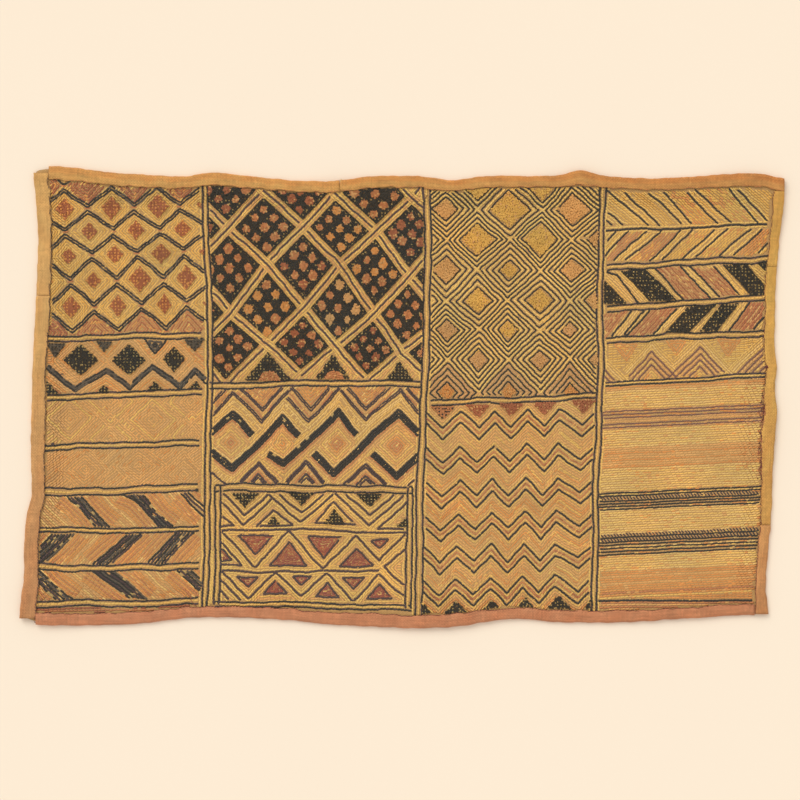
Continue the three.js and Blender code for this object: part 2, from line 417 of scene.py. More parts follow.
@dataclass(frozen=True)
class DyedRaffia:
    """Split leaf strands, dull with a slight silkiness and fine fibres along each strand."""

    name: str
    roughness: float = 0.62
    sheen: float = 0.1
    fibre: float = 0.1
    relief: float = 0.06

    def make(self) -> bpy.types.Material:
        """The strand's dye, streaked lengthwise, with the same streaks as relief.

        Returns:
            The material.
        """
        shader = Shader(self.name)
        strand = shader.scaled(shader.attribute("strand", "Vector"), 0.16, 3.0, 1.7)
        fibres = shader.noise(strand, 1.0, 3.0)
        # the dye attribute holds each dye together with the painted shade on the stitches' sides and tips
        # and on the tufts' feet
        dye = shader.attribute("dye", "Color")
        colour = shader.tinted(dye, fibres, 1 - self.fibre, 1 + self.fibre)
        shader.dress(colour, self.roughness, 0.32, self.sheen)
        shader.bump(fibres, self.relief, 0.6)
        return shader.material


@dataclass(frozen=True)
class PlainWeave:
    """Plain-woven raffia: streaked strands one over, one under, a little uneven."""

    name: str
    strand_width: float
    contrast: float
    relief: float

    def make(self) -> bpy.types.Material:
        """Over and under as the product of two sines, under streaks of tone along each way.

        Returns:
            The material.
        """
        shader = Shader(self.name)
        strand = shader.attribute("strand", "Vector")
        drift = shader.noise(strand, 0.11, 2.0)
        along = shader.sum("MULTIPLY_ADD", drift, 1.6, shader.part(strand, 0))
        across = shader.sum("MULTIPLY_ADD", drift, 1.2, shader.part(strand, 1))
        step = math.pi / self.strand_width
        over = shader.sum("SINE", shader.sum("MULTIPLY", along, step))
        under = shader.sum("SINE", shader.sum("MULTIPLY", across, step))
        weave = shader.sum("MULTIPLY_ADD", shader.sum("MULTIPLY", over, under), 0.5, 0.5)
        colour = shader.attribute("dye", "Color")
        streaks = []
        for scale, share in (((0.04, 0.9, 3.0), self.contrast), ((0.9, 0.08, 3.0), 0.8 * self.contrast),
                             ((0.5, 0.5, 1), 0.26)):
            streaks.append(shader.noise(shader.scaled(strand, *scale), 1.0, 3.0))
            colour = shader.tinted(colour, streaks[-1], 1 - share, 1 + share)
        shader.dress(shader.tinted(colour, weave, 0.86, 1.12), 0.66, 0.3, 0.1)
        shader.bump(shader.sum("MULTIPLY_ADD", streaks[0], 0.5, weave), self.relief, 0.7)
        return shader.material


@dataclass(frozen=True)
class Rail:
    """Two dark rows with a gold row between. Columns of rows: at, where the first row runs."""

    rows: tuple[Point, ...]
    gap: float
    start: float
    end: float
    upright: bool = False

    def near(self, at: Array) -> Array:
        """Where the first dark row runs."""
        return Curve(self.rows)(at)

    def far(self, at: Array) -> Array:
        """Where the second dark row runs."""
        return self.near(at) + self.gap

    def path(self, share: float) -> Array:
        """Points along the rail, share of the way from its first row to its second.

        Args:
            share: How far it lies from the first row to the second.

        Returns:
            Points in order.
        """
        at = np.linspace(self.start, self.end, max(2, round(abs(self.end - self.start) / 9)))
        value = self.near(at) + share * self.gap
        return np.stack([value, at] if self.upright else [at, value], axis=1)


@dataclass(frozen=True)
class Field:
    """A part of the cloth between four lines, which keeps its stitches to itself."""

    left: Line
    right: Line
    top: Line
    bottom: Line
    margin: float = 1.0

    def holds(self, x: Array, y: Array) -> Flags:
        """Whether each place lies inside, clear of the lines by the margin."""
        level = (x - self.left(y) > self.margin) & (self.right(y) - x > self.margin)
        return level & (self.top(x) - y > self.margin) & (y - self.bottom(x) > self.margin)


def area_of(points: Array) -> float:
    """A shape's area, positive where the inside lies left of its sides."""
    after = np.roll(points, -1, axis=0)
    return np.sum(points[:, 0] * after[:, 1] - after[:, 0] * points[:, 1]) / 2


def facing_in(corners: Points) -> Array:
    """Corners in the order that has the inside on their left."""
    points = np.array(corners, float)
    return points if area_of(points) > 0 else points[::-1]


def leftward(steps: Array) -> Array:
    """Steps turned a quarter to the left."""
    return np.stack([-steps[:, 1], steps[:, 0]], axis=1)


def shifted(points: Array, distance: float, closed: bool) -> Array:
    """Moves a line to its left: a corner goes along its sides' mean normal, over half the turn's cosine.

    Args:
        points: The line's corners.
        distance: How far it moves, to the right where negative.
        closed: Whether the last corner joins the first.

    Returns:
        The moved corners.
    """
    after = np.roll(points, -1, axis=0) - points
    before = points - np.roll(points, 1, axis=0)
    if not closed:
        after[-1] = before[-1]
        before[0] = after[0]
    sides = [leftward(side) for side in (before, after)]
    normals = [side / np.maximum(np.linalg.norm(side, axis=1, keepdims=True), 1e-9) for side in sides]
    mean = normals[0] + normals[1]
    mean /= np.maximum(np.linalg.norm(mean, axis=1, keepdims=True), 1e-9)
    cosine = np.maximum(np.sum(mean * normals[1], axis=1, keepdims=True), 0.4)
    return points + mean * distance / cosine


def joined(points: Array, closed: bool) -> Array:
    """The straight pieces between corners, one row of x, y, x, y each.

    Args:
        points: Corners in order.
        closed: Whether the last one joins the first.

    Returns:
        One row for each piece.
    """
    if closed:
        return np.concatenate([points, np.roll(points, -1, axis=0)], axis=1)
    return np.concatenate([points[:-1], points[1:]], axis=1)


@dataclass(frozen=True)
class Fleck:
    """Odd stitches of another dye."""

    dye: Dye
    share: float


@dataclass(frozen=True)
class Spot:
    """An oval of another dye in the pile."""

    x: float
    y: float
    wide: float
    tall: float
    dye: Dye


@dataclass(frozen=True)
class Patch:
    """A convex patch of cut pile, with a share of specks all over and another along its edges."""

    place: int
    corners: Array
    dye: Dye
    speck: Dye
    share: float
    edging: float
    spots: tuple[Spot, ...]
    crisp: bool


@dataclass
class Needle:
    """Takes down the rows to be sewn and the patches of pile, then lays them without overlap."""

    seed: int = 11
    cell: float = 0.6
    corner: Point = (-352.0, -216.0)
    size: tuple[int, int] = (1180, 722)
    tuft_step: Point = (1.5, 1.35)
    jitter: Point = (0.26, 0.22)
    edge_step: float = 1.4
    place: int = 0
    fields: list[Field] = field(default_factory=list)
    rows: list[Array] = field(default_factory=list)
    patches: list[Patch] = field(default_factory=list)

    def enter(self, where: Field) -> "Needle":
        """Turns to a field, to which all that is taken down from here on belongs.

        Args:
            where: The field.

        Returns:
            Itself.
        """
        if where not in self.fields:
            self.fields.append(where)
        self.place = self.fields.index(where)
        return self

    def note(self, pieces: Array, dye: Dye, rank: float, fleck: Fleck | None, width: float) -> None:
        """Takes down straight pieces of rows. Dark rows go down before light ones.

        Args:
            pieces: One row of x, y, x, y each.
            dye: Their dye.
            rank: Whose turn it is, the lower the sooner.
            fleck: Odd stitches of another dye.
            width: The stitches' width.
        """
        if dye in DARK:
            rank -= 50
        odd = (DYES.index(fleck.dye), fleck.share) if fleck else (0, 0)
        facts = np.array([rank, DYES.index(dye), self.place, width, *odd])
        self.rows.append(np.concatenate([pieces, np.tile(facts, (len(pieces), 1))], axis=1))

    def run(self, points: Points, dye: Dye, rank: float, closed: bool = False,
            fleck: Fleck | None = None, width: float = STITCH_WIDTH) -> None:
        """Sews one row along a line."""
        self.note(joined(np.array(points, float), closed), dye, rank, fleck, width)

    def band(self, points: Points, dyes: Sequence[Dye | None], rank: float, closed: bool = False,
             sides: Sequence[int] = (1, -1), first: float = 0.0, fleck: Fleck | None = None,
             width: float = STITCH_WIDTH) -> None:
        """Sews rows side by side, one dye each, out from a line to its left, its right or both.

        Args:
            points: The line.
            dyes: The rows' dyes from the line outwards, None for a row left out.
            rank: Whose turn it is, the lower the sooner, one more for each row out.
            closed: Whether the line is closed.
            sides: 1 for the line's left and -1 for its right.
            first: The first row's distance from the line.
            fleck: Odd stitches of another dye.
            width: The stitches' width.
        """
        line = np.array(points, float)
        for step, dye in enumerate(dyes):
            distance = first + step * PITCH
            for side in sides[:1] if distance == 0 else sides:
                if dye is not None:
                    moved = shifted(line, side * distance, closed)
                    self.run(moved, dye, rank + step, closed, fleck, width)

    def rings(self, corners: Points, dyes: Sequence[Dye | None], rank: float, first: float = 1.0,
              pitch: float = PITCH, fleck: Fleck | None = None, width: float = STITCH_WIDTH) -> None:
        """Sews rows one inside another in a rhombus or triangle, until no room is left.

        The inscribed circle's radius is twice the area over the girth, and each ring is the shape
        drawn in to its centre by the ring's distance over that radius.

        Args:
            corners: The shape.
            dyes: The rows' dyes from its sides inwards, None for a row left out.
            rank: Whose turn it is, the lower the sooner, one more for each row in.
            first: The first row's distance from the sides.
            pitch: The distance between rows.
            fleck: Odd stitches of another dye.
            width: The stitches' width.
        """
        points = facing_in(corners)
        girth = np.linalg.norm(np.roll(points, -1, axis=0) - points, axis=1)
        radius = 2 * area_of(points) / girth.sum()
        opposite = girth[[1, 2, 0]] if len(points) == 3 else np.ones(len(points))
        centre = (points * opposite[:, None]).sum(axis=0) / opposite.sum()
        for step, dye in enumerate(dyes):
            share = (first + step * pitch) / radius
            if share < 0.97 and dye is not None:
                ring = centre + (points - centre) * (1 - share)
                self.run(ring, dye, rank + step, True, fleck, width)

    def hatch(self, corners: Points, degrees: float, dyes: Sequence[Dye], rank: float,
              pitch: float = PITCH, fleck: Fleck | None = None) -> None:
        """Fills a convex shape with parallel rows, each cut where it enters and leaves the sides.

        Args:
            corners: The shape.
            degrees: The rows' direction from +x.
            dyes: The rows' dyes in turn, from the lowest row upwards, over and over.
            rank: Whose turn it is, the lower the sooner.
            pitch: The distance between rows.
            fleck: Odd stitches of another dye.
        """
        points = facing_in(corners)
        turn = math.radians(degrees)
        along = np.array([math.cos(turn), math.sin(turn)])
        across = np.array([-along[1], along[0]])
        reach = points @ across
        levels = np.arange(reach.min() + pitch / 2, reach.max(), pitch)
        side = np.roll(points, -1, axis=0) - points
        inward = leftward(side)
        gain = inward @ along
        start = (levels[:, None, None] * across - points) * inward
        crossing = -start.sum(axis=2) / np.where(np.abs(gain) < 1e-9, 1e-9, gain)
        enter = np.where(gain > 0, crossing, -1e9).max(axis=1)
        leave = np.where(gain < 0, crossing, 1e9).min(axis=1)
        for turn_of, dye in enumerate(dyes):
            chosen = (np.arange(len(levels)) % len(dyes) == turn_of) & (leave - enter > 1.2)
            base = levels[chosen, None] * across
            pieces = np.concatenate(
                [base + enter[chosen, None] * along, base + leave[chosen, None] * along], axis=1)
            self.note(pieces, dye, rank, fleck, STITCH_WIDTH)

    def level(self, degrees: float, dyes: Sequence[Dye], rank: float = 90.0,
              fleck: Fleck | None = None) -> None:
        """Fills what is left of the field with parallel rows.

        Args:
            degrees: The rows' slant.
            dyes: The rows' dyes in turn.
            rank: Whose turn it is, the lower the sooner.
            fleck: Odd stitches of another dye.
        """
        where = self.fields[self.place]
        middle_y = (value_at(where.top, 0) + value_at(where.bottom, 0)) / 2
        left, right = value_at(where.left, middle_y), value_at(where.right, middle_y)
        middle_x = (left + right) / 2
        wide = (right - left) / 2 + 14
        tall = min(240.0, (value_at(where.top, middle_x) - value_at(where.bottom, middle_x)) / 2 + 14)
        box = [(middle_x + a * wide, middle_y + b * tall) for a, b in ((-1, -1), (1, -1), (1, 1), (-1, 1))]
        self.hatch(box, degrees, dyes, rank, fleck=fleck)

    def pile(self, corners: Points, dye: Dye = BLACK, speck: Dye = SPECK, share: float = 0.05,
             edging: float = 0.1, spots: Sequence[Spot] = (), crisp: bool = False) -> None:
        """Marks a convex patch of cut pile.

        Args:
            corners: The patch.
            dye: Its main dye.
            speck: The dye of its specks.
            share: How many of its tufts are specks.
            edging: The same, near its sides.
            spots: Ovals of other dyes.
            crisp: Whether tufts are set along its sides too.
        """
        self.patches.append(
            Patch(self.place, facing_in(corners), dye, speck, share, edging, tuple(spots), crisp))

    def warp(self, x: Array, y: Array) -> tuple[Array, Array]:
        """The sewer's unsteady hand: long slow bends and short quick ones, less in the striped field.

        Args:
            x: Places across the cloth.
            y: Places along its short side.

        Returns:
            The places moved.
        """
        hand = 1 - 0.7 * smooth(x, 168, 190) * smooth(-y, -30, -8)
        x_off = 0.75 * waves(x, y, 52, 3) + 0.3 * waves(x, y, 11, 4)
        y_off = 0.75 * waves(x, y, 52, 5) + 0.3 * waves(x, y, 11, 6)
        return x + hand * x_off, y + hand * y_off

    def index(self, x: Array, y: Array) -> Whole:
        """The cell of the working grid that each place falls in.

        Args:
            x: Places across the cloth.
            y: Places along its short side.

        Returns:
            One cell number for each place.
        """
        column = np.clip(((x - self.corner[0]) / self.cell).astype(np.int64), 0, self.size[0] - 1)
        row = np.clip(((y - self.corner[1]) / self.cell).astype(np.int64), 0, self.size[1] - 1)
        return row * self.size[0] + column

    def within(self, x: Array, y: Array, corners: Array) -> Flags:
        """Whether places lie left of all a convex shape's sides.

        Args:
            x: Places across the cloth.
            y: Places along its short side.
            corners: The shape, with its inside on the left.

        Returns:
            One mark for each place.
        """
        side = np.roll(corners, -1, axis=0) - corners
        lefts = [
            side[i, 0] * (y - corners[i, 1]) - side[i, 1] * (x - corners[i, 0]) > 0
            for i in range(len(corners))]
        return np.logical_and.reduce(lefts)

    def around(self, ring: Array, spacing: float) -> Array:
        """Evenly spaced places along a closed line.

        Args:
            ring: The line's corners.
            spacing: About the distance wanted.

        Returns:
            The places in order.
        """
        side = np.roll(ring, -1, axis=0) - ring
        counts = np.maximum(1, np.round(np.linalg.norm(side, axis=1) / spacing)).astype(int)
        owner = np.repeat(np.arange(len(ring)), counts)
        before = np.repeat(np.cumsum(counts) - counts, counts)
        step = (np.arange(counts.sum()) - before) / counts[owner]
        return ring[owner] + step[:, None] * side[owner]

    def allowed(self, number: Array, x: Array, y: Array) -> Flags:
        """Whether each place is in its own field and on the cloth's face.

        Args:
            number: Each place's field.
            x: Places across the cloth.
            y: Places along its short side.

        Returns:
            One mark for each place.
        """
        good = LIE.inside(x, y) > -0.8
        for index, where in enumerate(self.fields):
            mine = number == index
            good[mine] &= where.holds(x[mine], y[mine])
        return good

    def tufts(self, taken: bytearray) -> Array:
        """Sets a tuft on each jittered grid place inside the patches, and takes their ground.

        Args:
            taken: One mark for each cell of the working grid, set where a patch lies.

        Returns:
            Tufts as rows of x, y, dye.
        """
        rng = np.random.default_rng(self.seed + 1)
        across, up = self.tuft_step
        found: list[Array] = []
        for patch in self.patches:
            field_of = self.fields[patch.place]
            low, high = patch.corners.min(axis=0) - 1, patch.corners.max(axis=0) + 1
            fine_x, fine_y = (a.ravel() for a in np.meshgrid(
                np.arange(low[0], high[0], 0.5), np.arange(low[1], high[1], 0.5)))
            inside = self.within(fine_x, fine_y, shifted(patch.corners, 0.3, True))
            inside &= field_of.holds(fine_x, fine_y)
            for cell in self.index(fine_x[inside], fine_y[inside]).tolist():
                taken[cell] = 1
            column, row = (a.ravel() for a in np.meshgrid(
                np.arange(math.ceil((high[0] - low[0]) / across)),
                np.arange(math.ceil((high[1] - low[1]) / up))))
            off_x, off_y = (rng.uniform(-most, most, column.size) for most in self.jitter)
            x = low[0] + across * (column + 0.5 * (row % 2)) + off_x
            y = low[1] + up * row + off_y
            dotted = column % 2 + row % 2 == 0
            if patch.crisp:
                inner = self.within(x, y, shifted(patch.corners, 1.35, True))
                edge = self.around(shifted(patch.corners, 0.7, True), self.edge_step)
                x = np.concatenate([x[inner], edge[:, 0]])
                y = np.concatenate([y[inner], edge[:, 1]])
                dotted = np.concatenate([dotted[inner], np.zeros(len(edge), bool)])
            good = self.within(x, y, shifted(patch.corners, 0.1, True))
            good &= field_of.holds(x, y) & (LIE.inside(x, y) > 0.6)
            x, y, dotted = x[good], y[good], dotted[good]
            rim = ~self.within(x, y, shifted(patch.corners, 3.4, True))
            code = np.full(x.size, DYES.index(patch.dye))
            chance = np.where(rim, patch.edging, patch.share) * np.where(dotted, 2.6, 0.14)
            code[rng.random(x.size) < chance] = DYES.index(patch.speck)
            for spot in patch.spots:
                across_spot, up_spot = np.abs(x - spot.x) / spot.wide, np.abs(y - spot.y) / spot.tall
                covered = across_spot**1.7 + up_spot**1.7 < 1
                code[covered] = DYES.index(spot.dye)
                code[covered & (rng.random(x.size) < 0.16)] = DYES.index(TAN)
            found.append(np.stack([x, y, code], axis=1))
        return np.concatenate(found)

    def sew(self) -> tuple[Array, Array]:
        """Lays all that was taken down.

        Rows are cut into stitches and go down in order of rank. A stitch is kept where fewer than
        three of five places along it are taken, and then takes its own ground.

        Returns:
            Stitches as rows of x, y, turn, length, width, dye, tone, and tufts as rows of x, y, dye.
        """
        rng = np.random.default_rng(self.seed)
        taken = bytearray(self.size[0] * self.size[1])
        tufts = self.tufts(taken)
        rows = np.concatenate(self.rows)
        length = np.hypot(rows[:, 2] - rows[:, 0], rows[:, 3] - rows[:, 1])
        count = np.maximum(1, np.round(length / STITCH_LENGTH)).astype(int)
        owner = np.repeat(np.arange(len(rows)), count)
        step = np.arange(count.sum()) - np.repeat(np.cumsum(count) - count, count)
        ends = []
        for part in (0.0, 1.0):
            share = ((step + part) / count[owner])[:, None]
            spot = rows[owner, 0:2] + share * (rows[owner, 2:4] - rows[owner, 0:2])
            ends.append(np.stack(self.warp(spot[:, 0], spot[:, 1]), axis=1))
        middle = (ends[0] + ends[1]) / 2 + rng.normal(0, 0.1, (len(owner), 2))
        run = ends[1] - ends[0]
        good = self.allowed(rows[owner, 6], middle[:, 0], middle[:, 1])
        order = np.argsort(rows[owner, 4] + np.where(good, 0, 1e6), kind="stable")[:int(good.sum())]
        owner, middle, run = owner[order], middle[order], run[order]
        lengths = np.hypot(run[:, 0], run[:, 1])
        unit = run / np.maximum(lengths, 1e-6)[:, None]
        normal = leftward(unit)
        tests = np.stack([
            self.index(*(middle + unit * lengths[:, None] * share).T)
            for share in (-0.42, -0.21, 0.0, 0.21, 0.42)], axis=1)
        stamps = np.stack([
            self.index(*(middle + unit * lengths[:, None] * share + normal * off).T)
            for share in np.linspace(-0.5, 0.5, 8) for off in (-0.7, 0.0, 0.7)], axis=1)
        kept = []
        for number, (test, stamp) in enumerate(zip(tests.tolist(), stamps.tolist())):
            if sum(taken[cell] for cell in test) < 3:
                kept.append(number)
                for cell in stamp:
                    taken[cell] = 1
        kept = np.array(kept)
        owner, middle, lengths, run = owner[kept], middle[kept], lengths[kept], run[kept]
        dye = rows[owner, 5].copy()
        odd = rng.random(len(owner)) < rows[owner, 9]
        dye[odd] = rows[owner, 8][odd]
        row_tone = rng.normal(0, 0.025, len(rows))[owner]
        strand_tone = rng.normal(0, 0.025, len(rows) * 9)[owner + len(rows) * (kept // 6 % 9)]
        tone = 1 + (row_tone + strand_tone) + rng.normal(0, 0.03, len(owner))
        turn = np.arctan2(run[:, 1], run[:, 0]) + rng.normal(0.1, 0.05, len(owner))
        stitches = np.stack([
            middle[:, 0], middle[:, 1], turn, lengths, rows[owner, 7], dye, tone], axis=1)
        return stitches, tufts


@dataclass(frozen=True)
class Rails:
    """The double dark lines that part the cloth into four columns and these into fields."""

    first: Rail = Rail(((-186, -179.2), (-129, -178.4), (-81, -177.0), (-39, -175.9), (11, -174.8),
                        (102, -175.9), (138, -178), (185, -180.4)), 4.6, -190, 190, True)
    second: Rail = Rail(((-183, 17.2), (-138, 18.5), (-93, 19.9), (-48, 20.7), (-12, 21.8),
                         (15, 24), (69, 24.8), (123, 25.7), (177, 25.4)), -5.8, -196, 190, True)
    third: Rail = Rail(((-183, 170.2), (-129, 171.2), (-75, 172.0), (-39, 173.9), (-3, 174.6),
                        (33, 177), (87, 175.8), (123, 176.4), (177, 178.2)), 4.8, -193, 190, True)
    one: tuple[Rail, ...] = (
        Rail(((-317, 53.8), (-249, 56.3), (-178, 58.4)), -4.6, -319, -181),
        Rail(((-320, 1.4), (-249, 4.2), (-178, 7.4)), -4.9, -320, -180),
        Rail(((-320, -42.5), (-249, -41.0), (-178, -39.2)), -4.9, -321, -181),
        Rail(((-321, -82.3), (-249, -80.8), (-178, -78.0)), -6.2, -322, -183),
        Rail(((-326, -117.5), (-249, -118.2), (-183, -116.0)), -4.0, -326, -183),
        Rail(((-326, -150.5), (-258, -151.4), (-183, -149.3)), -5.2, -327, -183),
        Rail(((-328, -183.8), (-288, -182.2), (-256, -183.6), (-183, -180.7)), -5.2, -329, -183))
    two: Rail = Rail(((-170, 12.7), (-83, 14.8), (16, 14.0)), -4.9, -173, 17)
    three: Rail = Rail(((23, -3.2), (68, -1.2), (122, 0.4), (173, 4.0)), -4.6, 27, 174)
    four: tuple[Rail, ...] = (
        Rail(((185, 118.7), (259, 122.9), (330, 127.0)), -4.9, 185, 330),
        Rail(((185, 82.3), (259, 87.3), (327, 91.6)), -5.2, 185, 328),
        Rail(((185, 53.0), (259, 57.3), (325, 60.1)), -4.8, 184, 327),
        Rail(((183, 13.1), (259, 16.9), (324, 21.2)), -3.2, 183, 326))
    frame_top: Rail = Rail(((-168, -79.0), (-74, -79.1), (11, -80.9)), -6.0, -168, 11)
    frame_foot: Rail = Rail(((-168, -184.2), (-74, -185.2), (8, -187.6)), -4.2, -168, 8)
    frame_left: Rail = Rail(((-187, -169.0), (-79, -168.4)), 4.7, -187, -80, True)
    frame_right: Rail = Rail(((-190, 3.0), (-130, 4.4), (-82, 6.4)), 4.9, -190, -81, True)

    def sew(self, needle: Needle) -> None:
        """Sews every rail, upright ones first.

        Args:
            needle: What takes down the rows.
        """
        needle.enter(Field(LEFT.seam, RIGHT.seam, TOP.seam, BOTTOM.seam, -0.8))
        upright = (self.first, self.second, self.third, self.frame_left, self.frame_right)
        level = (*self.one, self.two, self.three, *self.four, self.frame_top, self.frame_foot)
        for rank, rails in ((1.0, upright), (1.5, level)):
            for rail in rails:
                for share, dye, wide in ((0.0, BLACK, 1.7), (1.0, BLACK, 1.7), (0.5, GOLD, 2.4)):
                    fleck = Fleck(INK, 0.25) if dye is BLACK else None
                    needle.run(rail.path(share), dye, rank + share % 1, fleck=fleck, width=wide)
                for side in (-1, 1) if rail.upright else ():
                    away = np.array([np.sign(rail.gap) * side * PITCH, 0])
                    needle.run(rail.path(0.0 if side < 0 else 1.0) + away, BRIGHT, 6.0)


RAILS = Rails()


def diamond(x: float, y: float, wide: float, tall: float) -> list[Point]:
    """Corners of an upright rhombus, from its middle and its half width and height."""
    return [(x - wide, y), (x, y - tall), (x + wide, y), (x, y + tall)]


def peaked(tip_x: float, tip_y: float, half: float, base_y: float) -> list[Point]:
    """Corners of a triangle, from its tip and its level base."""
    return [(tip_x, tip_y), (tip_x - half, base_y), (tip_x + half, base_y)]


@dataclass(frozen=True)
class Lattice:
    """Crossings of two slanting sets of lines. Columns of rows: y, first x, step."""

    rows: Table
    count: int
    tilt: float = 0.0
    middle: float = 0.0

    def crossing(self, row: int, number: int) -> Point:
        """Where the numbered crossing of a row lies.

        Args:
            row: Its row, from the top.
            number: Its number in the row.

        Returns:
            Its place.
        """
        y, first, step = self.rows[row]
        x = first + step * number
        return x, y + self.tilt * (x - self.middle)

    def nearest(self, row: int, x: float) -> Point:
        """The crossing of a row that lies nearest to x."""
        crossings = (self.crossing(row, number) for number in range(self.count + 2))
        return min(crossings, key=lambda point: abs(point[0] - x))

    def lozenges(self) -> list[tuple[int, int, Array]]:
        """Every rhombus between four crossings: row, number, and its top, right, foot and left corner.

        Returns:
            One entry for each rhombus.
        """
        found = []
        for row in range(1, len(self.rows) - 1):
            for number in range(self.count):
                left, right = self.crossing(row, number), self.crossing(row, number + 1)
                middle = (left[0] + right[0]) / 2
                top, foot = self.nearest(row - 1, middle), self.nearest(row + 1, middle)
                found.append((row, number, np.array([top, right, foot, left])))
        return found

    def zigzag(self, row: int, gap: float) -> list[Point]:
        """The line from a row of crossings, less a gap, down to the next, clear of it by half as much.

        Args:
            row: The upper row of crossings.
            gap: What is left off there.

        Returns:
            The line's corners.
        """
        high = [(x, y - gap) for x, y in (self.crossing(row, n) for n in range(self.count + 1))]
        low = [(x, y + gap / 2) for x, y in (self.crossing(row + 1, n) for n in range(self.count + 1))]
        return sorted(high + low)


@dataclass(frozen=True)
class Bar:
    """A slanting bar between two edges, each given from its upper end down."""

    left: tuple[Point, ...]
    right: tuple[Point, ...]

    def row(self, share: float) -> Array:
        """A line along the bar, share of the way from its left edge to its right one."""
        left, right = np.array(self.left, float), np.array(self.right, float)
        return left + share * (right - left)

    def rows(self, needle: Needle, dyes: Sequence[Dye], rank: float, fleck: Fleck | None) -> None:
        """Sews rows along the bar, as many as it is wide, the dyes in turn.

        Args:
            needle: What takes down the rows.
            dyes: The rows' dyes in turn.
            rank: Whose turn it is, the lower the sooner.
            fleck: Odd stitches of another dye.
        """
        width = float(np.linalg.norm(self.row(0)[0] - self.row(1)[0])) * 0.72
        count = max(2, round(width / 1.8))
        for step in range(count):
            share = 0.04 + 0.92 * step / (count - 1)
            needle.run(self.row(share), dyes[step % len(dyes)], rank, fleck=fleck)

    def pile(self, needle: Needle, edging: float) -> None:
        """Fills the bar with black cut pile, in one patch for each pair of points on its edges.

        Args:
            needle: What takes down the rows.
            edging: The share of specks near its sides.
        """
        left, right = self.row(0), self.row(1)
        for step in range(len(left) - 1):
            corners = [left[step], left[step + 1], right[step + 1], right[step]]
            needle.pile(corners, share=0.16, edging=edging, crisp=True)


